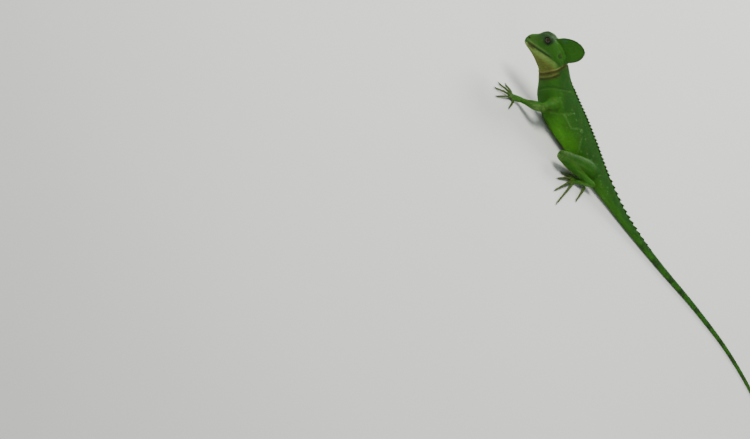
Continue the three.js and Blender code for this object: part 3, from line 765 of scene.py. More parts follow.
# %% Close the crest
rings = crest_rings()
flap_points, flap_faces = [], []
for side in (1, -1):
    flap_points.extend(in_head(CREST_MIDDLE[0], side * (rings[0][1][0] - 0.1), CREST_MIDDLE[1])[None])
    for flat, half in rings[1:-1]:
        flap_points.extend(in_head(flat[:, 0], side * np.maximum(half - 0.2, 0.45), flat[:, 1]))
rim_start = len(flap_points)
flat = rings[-1][0]
flap_points.extend(in_head(flat[:, 0], 0, flat[:, 1]))
count = len(flat)
for k in range(count):
    n = (k + 1) % count
    for start in (0, rim_start // 2):
        flap_faces.append([start, start + 1 + k, start + 1 + n])
        for row in range(len(rings) - 3):
            inner = start + 1 + row * count
            flap_faces.append([inner + k, inner + count + k, inner + count + n, inner + n])
        outer = start + 1 + (len(rings) - 3) * count
        flap_faces.append([outer + k, rim_start + k, rim_start + n, outer + n])
take_shell(outward(new_object("flap", flap_points, flap_faces)))
for side in (1, -1):
    for flat, half in rings[:-1]:
        lie = np.tile(-forward * 0.75 + crownward * 0.35, (len(flat), 1))
        add_rows("crest", float(side), in_head(flat[:, 0], side * half, flat[:, 1]), lie, *flat.T)
sample = {key: np.concatenate(value) for key, value in sample.items()}
sample_tree = tree_of(sample["spot"])
print("crest closed,", len(sample["spot"]), "samples in all")

# %% [markdown]
# ### One surface
# Skin passes from trunk to limb without an edge. Joining on a fine grid closes all seams. The join is then
# smoothed far more than the rest, so that the detail of head and paws is kept.

# %% Join, remesh and smooth
VOXEL, SKIN_TRIANGLES = 0.45, 185000
LIMB_SPAN = (-15, 125)  # along the body, from behind the thighs to before the arms
JOIN_REACH = 5.6  # a join is where trunk and limb are both within reach
SMOOTHING = 0.5
JOIN_ROUNDS, BODY_ROUNDS, FINE_ROUNDS = 170, 10, 2
skin = outward(new_object("skin", np.vstack(shell_points), shell_faces))
remesh = skin.modifiers.new("one_surface", "REMESH")
remesh.mode = "VOXEL"
remesh.voxel_size = VOXEL * MM
remesh.use_smooth_shade = True
apply_modifiers(skin)


def look_up(points):
    index = np.array([sample_tree.find(p)[1] for p in points])
    return {key: value[index] for key, value in sample.items()}


def in_zones(known, *names):
    return np.isin(known["zone"], [ZONES.index(name) for name in names])


points = vertex_places(skin)
known = look_up(points)
is_head, is_paw = in_zones(known, "head", "crest"), in_zones(known, "hand", "foot")
near_limb = (points[:, 0] > LIMB_SPAN[0]) & (points[:, 0] < LIMB_SPAN[1]) & (points[:, 2] > 1)
near_limb &= ~is_head & ~is_paw
trunk_tree = tree_of(sample["spot"][in_zones(sample, "body")])
limb_tree = tree_of(sample["spot"][in_zones(sample, "upper_arm", "thigh")])
is_join = np.zeros(len(points), bool)
for i in np.flatnonzero(near_limb):
    is_join[i] = limb_tree.find(points[i])[2] < JOIN_REACH and trunk_tree.find(points[i])[2] < JOIN_REACH
for name, mask, times in (
        ("join_part", is_join, JOIN_ROUNDS), ("body_part", ~is_head & ~is_paw, BODY_ROUNDS),
        ("fine_part", is_head | is_paw, FINE_ROUNDS)):
    group = skin.vertex_groups.new(name=name)
    group.add(np.flatnonzero(mask).tolist(), 1.0, "REPLACE")
    calm = skin.modifiers.new(name, "SMOOTH")
    calm.vertex_group = name
    calm.factor = SMOOTHING
    calm.iterations = times
thin = skin.modifiers.new("thin", "DECIMATE")
faces_now = len(skin.data.polygons) * 2
thin.ratio = min(1.0, SKIN_TRIANGLES / faces_now)
apply_modifiers(skin)
skin.vertex_groups.clear()
shade_smooth(skin)
print("skin:", faces_now, "->", sum(len(p.vertices) - 2 for p in skin.data.polygons), "triangles")

# %% [markdown]
# ## Markings
# The photo shows a deep green lizard: darker and bluer along the back, a brighter green flank with a few pale
# flecks and wrinkles, a pale band on the lips and chin, an olive-brown throat crossed by two pale folds, and
# brownish toes. Painted shade lies in the mouth, nostrils, ear pits and skin creases and on top of the
# thighs, and a painted reflection on the crest. One function gives the colour at any point, and both the skin
# and the scales ask it.

# %% Named colours and the lines drawn on the animal
COLOURS = {
    "back": linear(31, 79, 12),
    "flank": linear(60, 120, 22),
    "flank_bright": linear(82, 158, 24),
    "belly": linear(102, 134, 54),
    "shoulder": linear(47, 102, 20),
    "head": linear(44, 95, 14),
    "snout": linear(61, 99, 31),
    "brow": linear(48, 80, 40),
    # Dark colour round the eyes, also used for painted shade at the mouth and round the ear pits.
    "eye_area_and_shade": linear(20, 42, 12),
    "lip": linear(88, 122, 56),
    "jaw": linear(117, 146, 70),
    "throat": linear(100, 112, 40),
    # Dark brown of the ear drums and toe bands, also used for painted shade at the mouth and in the throat's
    # creases.
    "dark_brown_and_shade": linear(72, 66, 22),
    "fold": linear(138, 132, 74),
    "crest": linear(38, 88, 9),
    "crest_rim": linear(24, 62, 8),
    # Painted reflection: a blue-grey sheen on the crest.
    "crest_painted_reflection": linear(46, 88, 66),
    "limb": linear(44, 97, 15),
    "limb_edge": linear(102, 138, 70),
    "olive": linear(64, 90, 20),
    "toe": linear(66, 82, 30),
    "tail": linear(48, 106, 18),
    "tail_band": linear(30, 58, 14),
    "fleck": linear(112, 154, 78),
    # Near-black green used only for painted shade: nostrils, creases and the mouth's groove.
    "line": linear(20, 32, 12),
}
FOLDS = [
    [(27, -28), (33, -25.5), (40, -21), (47, -16), (51.5, -11), (54.5, -6.5)],
    [(30, -33.5), (37, -30.5), (44, -25.5), (50, -20)],
]
# Thin pale wrinkles of the trunk and a crease at the foot of the neck, where shade is painted as a dark line,
# as place along the body in mm and angle from the ridge. Both sides carry them.
WRINKLES = [
    [(86.8, 1.13), (77.2, 1.13), (68.8, 1.13), (64.0, 0.87), (60.4, 0.7)],
    [(94.0, 1.75), (90.0, 1.4), (86.8, 1.13), (84.5, 0.8)],
    [(52.0, 0.9), (47.2, 1.13), (42.4, 1.31), (40.0, 1.48)],
]
NECK_CREASE = [(118.4, 2.44), (120.6, 1.83), (119.2, 1.31), (114.4, 0.7), (112.0, 0.4)]
BODY_RADIUS, THIGH_LINE_RADIUS = 15.0, 7.0
print("colours:", len(COLOURS), "folds:", len(FOLDS), "wrinkles:", len(WRINKLES))

# %% [markdown]
# ### Laying colours
# Skin colours run into each other without edges. So each colour is laid over the ones before with a share
# that rises and falls smoothly, and soft waves of noise break the borders.

# %% Tools for markings
def mix(a, b, share):
    return a + (b - a) * np.asarray(share)[..., None]


def plain(name, points):
    return np.broadcast_to(COLOURS[name], points.shape)


def lay(colour, *layers):
    """Lay named colours over a colour, each with its share at every point."""
    for name, share in layers:
        colour = mix(colour, COLOURS[name], share)
    return colour


def ripple(points, size, seed):
    """Soft noise between 0 and 1 made of a few seeded waves."""
    draw = np.random.default_rng(seed)
    total = np.zeros(len(points))
    for _ in range(7):
        way = draw.normal(size=3)
        way *= 2 * np.pi / (size * draw.uniform(0.6, 1.6)) / np.linalg.norm(way)
        total += np.sin(points @ way + draw.uniform(0, 6.28))
    return np.clip(0.5 + total / 7, 0, 1)


def line_distance(points, line):
    best = np.full(len(points), 1e9)
    for a, b in zip(line, line[1:]):
        a, b = np.array(a, float), np.array(b, float)
        t = np.clip((points - a) @ (b - a) / ((b - a) @ (b - a)), 0, 1)
        best = np.minimum(best, np.linalg.norm(points - a - t[:, None] * (b - a), axis=1))
    return best


def trunk_line(place, angle, line):
    """How far points of the trunk lie from a line given as (place, angle from the ridge)."""
    around = np.arccos(np.cos(angle)) * BODY_RADIUS
    return line_distance(np.stack([place, around], -1), [(p, a * BODY_RADIUS) for p, a in line])


def fold_distances(back, height):
    """How far each point of the side view lies from a fold's crest and from the crease under it."""
    flat = np.stack([back, height], -1)
    pairs = []
    for line in FOLDS:
        crease = [(b + 1.7, h - 1.6) for b, h in line]
        pairs.append((line_distance(flat, line), line_distance(flat, crease)))
    return pairs


def mouth_height(back):
    return between(HEAD, np.clip(back, 0, HEAD_LENGTH))[:, 6]


def from_feature(feature, back, left, height):
    """How far points in the head's axes lie from a feature that both sides have."""
    way = np.stack([back - feature[0], np.abs(left) - feature[1], height - feature[2]], -1)
    return np.linalg.norm(way, axis=1)


FLECKS = 120
fleck_draw = np.random.default_rng(21)
fleck_rings = body_rings(fleck_draw.uniform(-20, 118, FLECKS), fleck_draw.uniform(0.7, 2.2, (FLECKS, 1)))
fleck_side = np.where(fleck_draw.random(FLECKS) < 0.5, 1, -1)
fleck_spots = fleck_rings[:, 0] * fleck_side[:, None] ** np.array([0, 1, 0])
fleck_size = fleck_draw.uniform(0.45, 1.2, FLECKS)
fleck_tree = tree_of(fleck_spots)
trunk_sample = {key: value[in_zones(sample, "body")] for key, value in sample.items()}
print("flecks:", FLECKS)

# %% [markdown]
# ### Colours of the forms
# Each form has its own rule. The trunk goes by the level between belly and ridge, the head by its own axes,
# and a limb by its length and angle.

# %% Colour of trunk and tail
def body_tint(points, place, angle):
    """Trunk, neck and tail: dark back, bright flank, pale belly, flecks, painted shade in the neck's crease,
    tail bands.
    """
    soft, fine = ripple(points, 14, 3), ripple(points, 4, 4)
    level = np.clip((1 + np.cos(angle)) / 2 + (fine - 0.5) * 0.08 + (soft - 0.5) * 0.1, 0, 1)
    glow = smooth(0.06, 0.26, level) * smooth(0.78, 0.4, level)
    glow = glow * smooth(14, 48, place) * smooth(110, 84, place)
    patch = smooth(0.62, 0.8, ripple(points, 9, 8)) * smooth(0.3, 0.5, level)
    streak = np.abs(np.sin((place * 0.9 + 22 * level + 9 * soft) / 7.5))
    veins = smooth(0.09, 0.02, streak) * (place > -10) * smooth(0.25, 0.4, level) * smooth(0.9, 0.7, level)
    body = lay(
        plain("belly", points),
        ("flank", smooth(0.02, 0.22, level)),
        ("flank_bright", glow * (0.6 + 0.4 * soft)),
        ("back", smooth(0.42, 0.9, level)),
        ("shoulder", smooth(70, 95, place) * smooth(0.9, 0.4, level) * 0.7),
        ("olive", patch * 0.2),
        ("fleck", veins * 0.3 * smooth(0.35, 0.6, ripple(points, 11, 12))),
        *(("fleck", smooth(1.1, 0.2, trunk_line(place, angle, line)) * 0.26) for line in WRINKLES),
        # Painted shade of the crease at the foot of the neck, and a pale line beside it.
        ("line", smooth(1.3, 0.2, trunk_line(place, angle, NECK_CREASE)) * 0.4),
        ("fleck", smooth(1.1, 0.2, trunk_line(place + 2.2, angle, NECK_CREASE)) * 0.2))
    wave = 0.5 + 0.5 * np.sin(2 * np.pi * (place + 6 * soft) / 24)
    tail = lay(
        plain("belly", points),
        ("tail", smooth(0.0, 0.2, level)),
        ("back", smooth(0.6, 0.95, level)),
        ("tail_band", smooth(0.55, 0.9, wave) * smooth(-50, -110, place) * 0.7),
        ("olive", smooth(-200, -430, place) * 0.6))
    body = mix(body, tail, smooth(-12, -60, place))
    for i in np.flatnonzero(place > -25):
        _, spot, far = fleck_tree.find(points[i])
        share = float(smooth(fleck_size[spot] * 1.3, fleck_size[spot] * 0.5, far))
        body[i] += (COLOURS["fleck"] - body[i]) * 0.5 * share
    return body


print("trunk and tail have colour")

# %% Colour of the head
def head_tint(points, back, left, height):
    """Head in its own axes: grey-green brow and snout, pale jaw, dark round the eye, olive-brown throat, and
    painted shade at the mouth, nostrils and ear pits.
    """
    above = height - mouth_height(back)
    eye_way = np.stack([back - EYE[0], np.abs(left) - EYE[1] - 3, (height - EYE[2]) * 1.15], -1)
    lip = smooth(1.5, 2.6, above) * smooth(5.6, 3.8, above) * smooth(42, 26, back) * smooth(2, 6, back)
    head = lay(
        plain("head", points),
        ("snout", smooth(22, 10, back) * smooth(1, 4, above) * 0.8),
        ("brow", smooth(9.5, 13.5, height) * smooth(12, 18, back) * smooth(37, 32, back)),
        ("eye_area_and_shade", smooth(7.2, 4.4, np.linalg.norm(eye_way, axis=1)) * 0.85),
        ("lip", lip * 0.7))
    jaw = lay(
        plain("jaw", points),
        ("head", smooth(26, 40, back) * 0.35),
        ("throat", smooth(-4.2, -8.5, above)))
    head = mix(head, jaw, smooth(0.2, -0.6, above) * smooth(50, 42, back))
    # Painted shade along the mouth's line, under the upper lip.
    shade = smooth(3.0, 1.6, above) * smooth(-1.6, -0.3, above)
    head = lay(head, ("eye_area_and_shade", shade * smooth(40, 32, back) * smooth(8, 14, back) * 0.45))
    # Painted shadow at the front of the mouth, where the lips part.
    shade = smooth(2.6, 1.4, above) * smooth(-3.4, -2.2, above)
    shade = shade * smooth(4, 7, back) * smooth(18, 12, back)
    head = lay(
        mix(head, COLOURS["dark_brown_and_shade"] * 0.7, shade * 0.75),
        # Painted shade in each nostril's pit.
        ("line", smooth(1.5, 1.0, from_feature(NOSTRIL, back, left, height))),
        ("throat", smooth(-7, -11, above) * smooth(52, 44, back)))
    # The drum is dark brown, and the dark ring round it is painted shade on the rim of the ear pit.
    ear = np.hypot(back - EAR[0], height - EAR[2]) + 9 * (np.abs(left) < EAR[1] - 4)
    drum = lay(head, ("dark_brown_and_shade", np.full(len(points), 0.45)), ("eye_area_and_shade", smooth(1.0, 2.4, ear) * 0.9))
    return mix(head, drum, smooth(3.0, 2.3, ear))


print("the head has colour")

# %% Colour of the limbs
def limb_tint(points, known, zone_name):
    """Green limbs with olive patches, a pale front edge and painted shade on top of the thigh. At the root
    they have the trunk's colour.
    """
    place, angle = known["place"], known["angle"]
    soft = ripple(points, 14, 3)
    on_left = known["side"] > 0
    along = smooth(0.45, 0.95, place) if zone_name == "thigh" else smooth(0.8, 0.1, place)
    pale = smooth(0.6, 0.95, np.cos(angle + np.where(on_left, 0.0, np.pi))) * along
    limb = lay(
        plain("limb", points),
        ("flank", soft * 0.5),
        ("olive", smooth(0.55, 0.8, ripple(points, 10, 9)) * 0.55),
        ("back", smooth(0.6, 0.85, 0.5 + 0.5 * np.sin(place * 26 + 4 * soft)) * 0.3),
        ("limb_edge", pale * 0.6),
        ("belly", smooth(-0.1, -0.95, np.sin(angle)) * 0.5))
    if zone_name == "thigh":
        turned = np.where(on_left, angle, np.pi - angle)
        off_line = np.abs(np.angle(np.exp(1j * (turned - 0.6)))) * THIGH_LINE_RADIUS
        limb = lay(
            limb,
            # Painted shade: the top of the thigh is darkened towards the back's colour.
            ("back", smooth(-0.1, 0.7, np.sin(angle)) * 0.6),
            ("limb_edge", smooth(0.9, 0.2, off_line) * smooth(0.25, 0.4, place) * 0.5))
    if zone_name in ("upper_arm", "thigh"):
        near = np.array([trunk_tree.find(p)[1] for p in points], int)
        base = body_tint(points, trunk_sample["place"][near], trunk_sample["angle"][near])
        limb = mix(limb, base, smooth(0.72, 0.3, place))
    return limb


def paw_tint(points, known):
    place = known["place"]
    return lay(
        plain("limb", points),
        ("flank", smooth(-0.2, -0.8, place) * 0.6),
        ("toe", smooth(-0.1, 0.5, place) * 0.85),
        ("dark_brown_and_shade", smooth(0.55, 0.85, 0.5 + 0.5 * np.sin(place * 34)) * 0.25),
        ("limb_edge", smooth(0.7, 1.0, np.abs(np.cos(known["angle"]))) * 0.35))


print("limbs and paws have colour")

# %% The colour at any point
def crest_tint(points, back, height):
    rim_far = line_distance(np.stack([back, height], -1), CREST_RIM[1:14])
    return lay(
        plain("head", points),
        ("crest", smooth(0.0, 0.35, crest_out(back, height))),
        # Painted reflection of blue-grey light on the crest's side.
        ("crest_painted_reflection", smooth(3.4, 1.2, np.hypot((back - 44) * 0.8, height - 16.5)) * 0.4),
        ("crest_rim", smooth(2.4, 0.4, rim_far) * 0.8))


def tint(points, known):
    """Scene-linear colour of each point of the skin."""
    back, left, height = to_head(points).T
    above = height - mouth_height(back)
    colour = np.zeros(points.shape)
    body, head, crest = (in_zones(known, name) for name in ("body", "head", "crest"))
    colour[body] = body_tint(points[body], known["place"][body], known["angle"][body])
    front = (height + 33.5) * 0.83 - (back - 30) * 0.56  # over 0 on the throat's side of the second fold
    neck = smooth(-1.5, 1.5, front) * smooth(-6, -11, above) * smooth(57, 47, back) * (known["place"] > 100)
    colour[body] = lay(colour[body], ("throat", neck[body]))
    colour[head] = head_tint(points[head], back[head], left[head], height[head])
    for (crest_far, crease_far), strength in zip(fold_distances(back, height), (0.75, 0.6)):
        folded = lay(
            colour,
            # Painted shade in the crease under each fold; the fold's crest is pale.
            ("dark_brown_and_shade", smooth(3.0, 1.2, crease_far) * 0.6),
            ("fold", smooth(1.15, 0.3, crest_far) * strength * smooth(54, 48, back)),
            ("line", smooth(0.9, 0.2, crease_far) * 0.35))
        colour = np.where((body | head)[:, None], folded, colour)
    colour[crest] = crest_tint(points[crest], back[crest], height[crest])
    for name in ZONES[3:]:
        mine = in_zones(known, name)
        own = {key: value[mine] for key, value in known.items()}
        is_paw = name in ("hand", "foot")
        colour[mine] = paw_tint(points[mine], own) if is_paw else limb_tint(points[mine], own, name)
    return np.clip(colour * (0.88 + 0.24 * ripple(points, 4, 4)[:, None]), 0, 1)


print("any point has colour")

# %% [markdown]
# ### Folds of the throat
# Two loose folds cross the throat. They are raised lines with a crease below, so the skin's points are pushed
# out or in by a fraction of a millimetre, before colour is put on.

# %% Folds and colours of the skin
known = known_skin = look_up(vertex_places(skin))
points = vertex_places(skin)
back, left, height = to_head(points).T
push = np.zeros(len(points))
for crest_far, crease_far in fold_distances(back, height):
    push += 0.5 * np.exp(-((crest_far / 0.9) ** 2)) - 0.6 * np.exp(-((crease_far / 0.8) ** 2))
push *= in_zones(known, "body", "head")
normals = np.empty(len(points) * 3)
skin.data.vertices.foreach_get("normal", normals)
points = off_floor(points + normals.reshape(-1, 3) * push[:, None])
skin.data.vertices.foreach_set("co", ((points + SHIFT) * MM).ravel())
skin.data.update()
# Painted shade along the mouth's groove.
groove = np.exp(-(((height - mouth_height(back)) / 0.5) ** 2)) * smooth(38, 34, back)
groove *= in_zones(known, "head")
skin_tint = mix(tint(points, known), COLOURS["line"], groove * 0.9)


def store_tint(mesh, colours):
    store(mesh, "tint", "FLOAT_COLOR", np.hstack([colours, np.ones((len(colours), 1))]))


store_tint(skin.data, skin_tint)
print("markings on", len(points), "points of skin")

# %% [markdown]
# ## Claws
# A lizard's claw is a narrow hook, deeper than it is wide. Each one follows a short curve from the end of its
# toe down to the floor, and all twenty make one piece.

# %% Claw mesh
CLAW_SIDES, CLAW_ROWS, CLAW_POINT = 10, 9, 0.05
CLAW_WIDE, CLAW_DEEP = 0.78, 1.05
shares = np.linspace(0, 1, CLAW_ROWS)
radius = CLAW_RADIUS * (1 - shares) ** 0.75 + CLAW_POINT
claw_points, claw_faces = [], []
for forms, claws in limb_list.values():
    for line in claws:
        path = Path(line)
        rings = np.array([
            oval(spot, heading, r * CLAW_WIDE, r * CLAW_DEEP, CLAW_SIDES)
            for spot, heading, r in zip(path.at(shares), path.heading(shares), radius)])
        add_shell(*tube(off_floor(rings)), claw_points, claw_faces)
claws_piece = shade_smooth(outward(new_object("claws", np.vstack(claw_points), claw_faces)))
one_share = np.concatenate([np.repeat(shares, CLAW_SIDES), [0, 1]])
store(claws_piece.data, "share", "FLOAT", np.tile(one_share, len(claw_points)))
print("claws:", len(claw_points))

# %% [markdown]
# ## Eyes
# The eye sits deep under the brow, so only a small round of it shows between the lids. It is a glossy ball
# with a round pupil and a dark bronze iris. The angle from the line of sight is kept with each point and
# colours it.

# %% Eyeballs
EYE_POLAR = np.radians([3, 7, 11, 15, 19, 22, 25, 28, 31, 34, 37, 40, 44, 48, 53, 60, *range(70, 180, 12)])
EYE_SIDES = 48


def eyeball(name, side):
    centre, gaze, axes = eye_frame(side)
    points, faces = tube(centre + sphere_rings(EYE_POLAR, EYE_SIDES) * EYE_RADIUS @ axes)
    points[-2] = centre + gaze * EYE_RADIUS
    points[-1] = centre - gaze * EYE_RADIUS
    made = shade_smooth(outward(new_object(name, points, faces)))
    store(made.data, "from_sight", "FLOAT", [*np.repeat(np.degrees(EYE_POLAR), EYE_SIDES), 0, 180])
    return made


eyes = {name: eyeball(name, side) for name, side in (("eyeball_left", 1), ("eyeball_right", -1))}
print("eyes made")

# %% [markdown]
# ## Materials
# Living skin is dull with a faint sheen, so the skin takes its colour from the markings, varied a little by
# soft noise, and a fine cell pattern gives it a grain. Horn is dark towards the point of a claw. The eye is
# wet, so a clear coat lies over it.

# %% Material tools
def ramp(tree, value, stops):
    node = tree.nodes.new("ShaderNodeValToRGB")
    tree.links.new(value, node.inputs[0])
    band = node.color_ramp
    while len(band.elements) < len(stops):
        band.elements.new(0.5)
    for element, (place, colour) in zip(band.elements, stops):
        element.position = place
        element.color = (*colour, 1)
    return node.outputs[0]


def kept_value(tree, name, output):
    return add_node(tree, "ShaderNodeAttribute", attribute_name=name).outputs[output]


def own_place(tree):
    return add_node(tree, "ShaderNodeTexCoord").outputs["Object"]


def noise(tree, place, scale, detail):
    node = add_node(tree, "ShaderNodeTexNoise", {"Vector": place, "Scale": scale, "Detail": detail})
    return node.outputs["Fac"]


def spread(tree, value, low, high):
    return add_node(tree, "ShaderNodeMapRange", {"Value": value, "To Min": low, "To Max": high}).outputs[0]


def times(tree, colour, factor):
    return add_node(tree, "ShaderNodeVectorMath", {0: colour, 1: factor}, operation="MULTIPLY").outputs[0]


DULL = 0.2  # how strongly skin and eye mirror light


def skin_material(name, cell_scale, roughness, gain):
    material, tree, shader = new_material(name)
    place = own_place(tree)
    grain, cloud = noise(tree, place, 900.0, 3.0), noise(tree, place, 120.0, 2.0)
    shade = spread(tree, cloud, 0.84 * gain, 1.14 * gain)
    cells = add_node(tree, "ShaderNodeTexVoronoi", {"Vector": place, "Scale": cell_scale})
    bump = add_node(
        tree, "ShaderNodeBump", {"Height": cells.outputs["Distance"], "Strength": 0.35, "Distance": 0.00012})
    settle(tree, shader, {
        "Base Color": times(tree, kept_value(tree, "tint", "Color"), shade), "Normal": bump.outputs[0],
        "Roughness": spread(tree, grain, *roughness), "Specular IOR Level": DULL})
    return material


print("material tools ready")

# %% Materials of skin, claws and eyes
SKIN_CELLS, SCALE_CELLS = 1050, 1500  # cells of the grain along a metre
skin.data.materials.append(skin_material("skin_between_scales", SKIN_CELLS, (0.42, 0.6), 0.72))

claw_material, tree, shader = new_material("horn")
share = kept_value(tree, "share", "Fac")
streak = noise(tree, own_place(tree), 1500.0, 3.0)
mixed = add_node(tree, "ShaderNodeMath", {0: streak, 1: 0.25}, operation="MULTIPLY")
mixed = add_node(tree, "ShaderNodeMath", {0: mixed.outputs[0], 1: share}, operation="ADD")
horn = ramp(tree, mixed.outputs[0], [
    (0.1, (0.075, 0.06, 0.03)), (0.55, (0.035, 0.027, 0.016)), (1.0, (0.012, 0.01, 0.008))])
settle(tree, shader, {"Base Color": horn, "Roughness": 0.3})
claws_piece.data.materials.append(claw_material)

eye_material, tree, shader = new_material("eye_gloss")
angle_out = kept_value(tree, "from_sight", "Fac")
fleck = noise(tree, own_place(tree), 1400.0, 4.0)
fleck = add_node(tree, "ShaderNodeMath", {0: fleck, 1: 0.5}, operation="SUBTRACT").outputs[0]
total = add_node(tree, "ShaderNodeMath", {0: fleck, 1: 9.0, 2: angle_out}, operation="MULTIPLY_ADD")
share = add_node(tree, "ShaderNodeMapRange", {"Value": total.outputs[0], "From Min": 0.0, "From Max": 60.0})
iris = ramp(tree, share.outputs[0], [
    (0.0, (0.002, 0.002, 0.002)), (0.33, (0.002, 0.002, 0.002)), (0.36, (0.1, 0.07, 0.016)),
    (0.4, (0.03, 0.024, 0.007)), (0.62, (0.014, 0.012, 0.004)), (0.8, (0.006, 0.006, 0.003))])
settle(tree, shader, {
    "Base Color": iris, "Roughness": 0.12, "Specular IOR Level": DULL,
    "Coat Weight": 0.45, "Coat IOR": 1.33, "Coat Roughness": 0.03})
for piece in eyes.values():
    piece.data.materials.append(eye_material)
print("materials ready")

# %% [markdown]
# ## Where the scales root
# A lizard's scales stand in rows across the body, each row shifted by half a scale, and every scale overlaps
# the next one towards the tail or the toes. So rows are laid on the lofts, and each root is then dropped on
# to the finished skin. Roots that land far away were inside another form and are left out.

# %% Rows of roots on the lofts
skin_faces = [list(p.vertices) for p in skin.data.polygons]
skin_tree = BVHTree.FromPolygons([tuple(v) for v in vertex_places(skin)], skin_faces)
root = {key: [] for key in ("spot", "lie", "size", "uv", "group")}
GROUPS = ["trunk_left", "trunk_right", "tail", "head", "arms", "legs"]
HEAD_GROUP = GROUPS.index("head")
BODY_FIELD, HEAD_FIELD = ((0.01, 0.01), (0.99, 0.40)), ((0.01, 0.42), (0.30, 0.70))
NAPE, TRUNK_WIDTH, ROW_STEP = 141.0, 1.3, 0.86


def rows_on(rings, places, width):
    """Staggered roots on a loft: spot, way to the next ring, place, share of the turn and width of each."""
    found = []
    for i, ring in enumerate(rings):
        loop = np.vstack([ring, ring[:1]])
        run = run_along(loop)
        wide = width[i] if np.ndim(width) else width
        count = max(int(round(run[-1] / wide)), 4)
        target = (np.arange(count) + 0.5 * (i % 2)) / count * run[-1] % run[-1]
        after, before = rings[min(i + 1, len(rings) - 1)], rings[max(i - 1, 0)]
        way = np.vstack([after, after[:1]]) - np.vstack([before, before[:1]])
        spot = np.stack([np.interp(target, run, loop[:, k]) for k in range(3)], -1)
        lie = np.stack([np.interp(target, run, way[:, k]) for k in range(3)], -1)
        share = np.interp(target, run, np.arange(len(loop)) / len(ring))
        found.append((spot, lie, np.full(count, places[i]), share, np.full(count, run[-1] / count)))
    return [np.concatenate(part) for part in zip(*found)]


def keep_roots(spot, lie, size, uv, group, near=1.2, faces=None):
    """Drop roots on to the skin. Those far from it are inside another form, those below touch the floor."""
    landed, kept = [], []
    for i, p in enumerate(spot):
        place, normal, _, gap = skin_tree.find_nearest(p)
        if gap < near:
            landed.append((*place, *(normal if faces is None else faces[i])))
            kept.append(i)
    landed, kept = np.array(landed), np.array(kept)
    clear = (landed[:, 2] > 0.5) | ((landed[:, 5] > -0.4) & (landed[:, 2] > 0.3))
    landed, kept = landed[clear], kept[clear]
    root["spot"].append(landed)
    root["lie"].append(unit(lie[kept]))
    root["size"].append(np.asarray(size)[kept])
    root["uv"].append(uv[kept])
    root["group"].append(np.asarray(group)[kept] if np.ndim(group) else np.full(len(kept), group))


def island(u, v, low, high):
    """Each form has its own field of the unwrapped skin."""
    return np.stack([low[0] + (high[0] - low[0]) * u, low[1] + (high[1] - low[1]) * v], -1)


def taken_from(spot, distance):
    """True where an earlier form already has a scale this near."""
    tree = tree_of(np.vstack(root["spot"])[:, :3])
    return np.array([tree.find(p)[2] for p in spot]) < distance


print("groups of scales:", *GROUPS)

# %% Scales of trunk, neck and tail
# Small keeled scales, larger and longer on the tail
scale_places, width, place = [], [], NAPE
while place > VENT_X - TAIL_LENGTH + 6:
    wide = TRUNK_WIDTH
    if place <= VENT_X:
        wide = float(TRUNK_WIDTH + 0.35 * smooth(VENT_X, -80, place) - 0.55 * smooth(-200, -440, place))
    scale_places.append(place)
    width.append(wide)
    place -= (0.98 if place > VENT_X else 1.0) * wide * ROW_STEP
rings = body_rings(np.array(scale_places), 96)
spot, lie, place, share, wide = rows_on(rings, scale_places, width)
level = (1 + np.cos(2 * np.pi * share)) / 2
grown = 1 + 0.12 * smooth(0.75, 1, level)
size = np.stack([wide * 1.22 * grown, wide * 0.98 * grown, np.where(place > VENT_X, 1.0, 1.12) * grown], -1)
group = np.where(place < VENT_X - 6, GROUPS.index("tail"), np.where(share < 0.5, 0, 1))
uv = island((NAPE - place) / (NAPE - VENT_X + TAIL_LENGTH), share, *BODY_FIELD)
keep_roots(spot, lie, size, uv, group)
print("trunk and tail:", len(root["spot"][0]))

# %% [markdown]
# ### Coat of the head
# Head scales are finer and lie closer. Square plates border the lips, bead-like granules ring the lids,
# nostrils and ears, and the crest has the largest scales. Rows round each feature are laid by its own shape.

# %% Scales of the head
HEAD_WIDTH, EYE_REACH = 1.36, 8.5


def before_eye(spot, side, degrees):
    """True for points in front of an eye, within an angle of its line of sight."""
    centre, gaze, _ = eye_frame(side)
    ray = spot - centre
    far = np.linalg.norm(ray, axis=1)
    return (far < EYE_REACH) & ((ray @ gaze) / far > math.cos(math.radians(degrees)))


def head_filter(spot):
    """False over the lips' plates, the mouth, ears, nostrils and eyes."""
    back, left, height = to_head(spot).T
    above = height - mouth_height(back)
    good = ~((back < MOUTH_CORNER + 1.5) & (above > -2.4) & (above < 2.6) & (back > 1.2))
    good &= ~((back < 1.3) & (np.abs(above) < 0.55))
    good &= from_feature(EAR, back, left, height) > 3.5
    good &= from_feature(NOSTRIL, back, left, height) > 2.1
    for side in (1, -1):
        good &= ~before_eye(spot, side, 57)
    return good


backs = np.concatenate([[0.2, 0.7, 1.5, 2.4], np.arange(3.4, 51.5, 1.12)])
spot, lie, place, share, wide = rows_on(head_rings(backs), backs, HEAD_WIDTH)
good = head_filter(spot) & ~taken_from(spot, 1.0)
size = np.stack([wide * 1.12, wide * 0.98, np.full(len(wide), 0.95)], -1)
uv = island(place / HEAD_LENGTH, share, *HEAD_FIELD)
keep_roots(spot[good], lie[good], size[good], uv[good], HEAD_GROUP, 1.6)
print("with head:", sum(len(s) for s in root["spot"]))

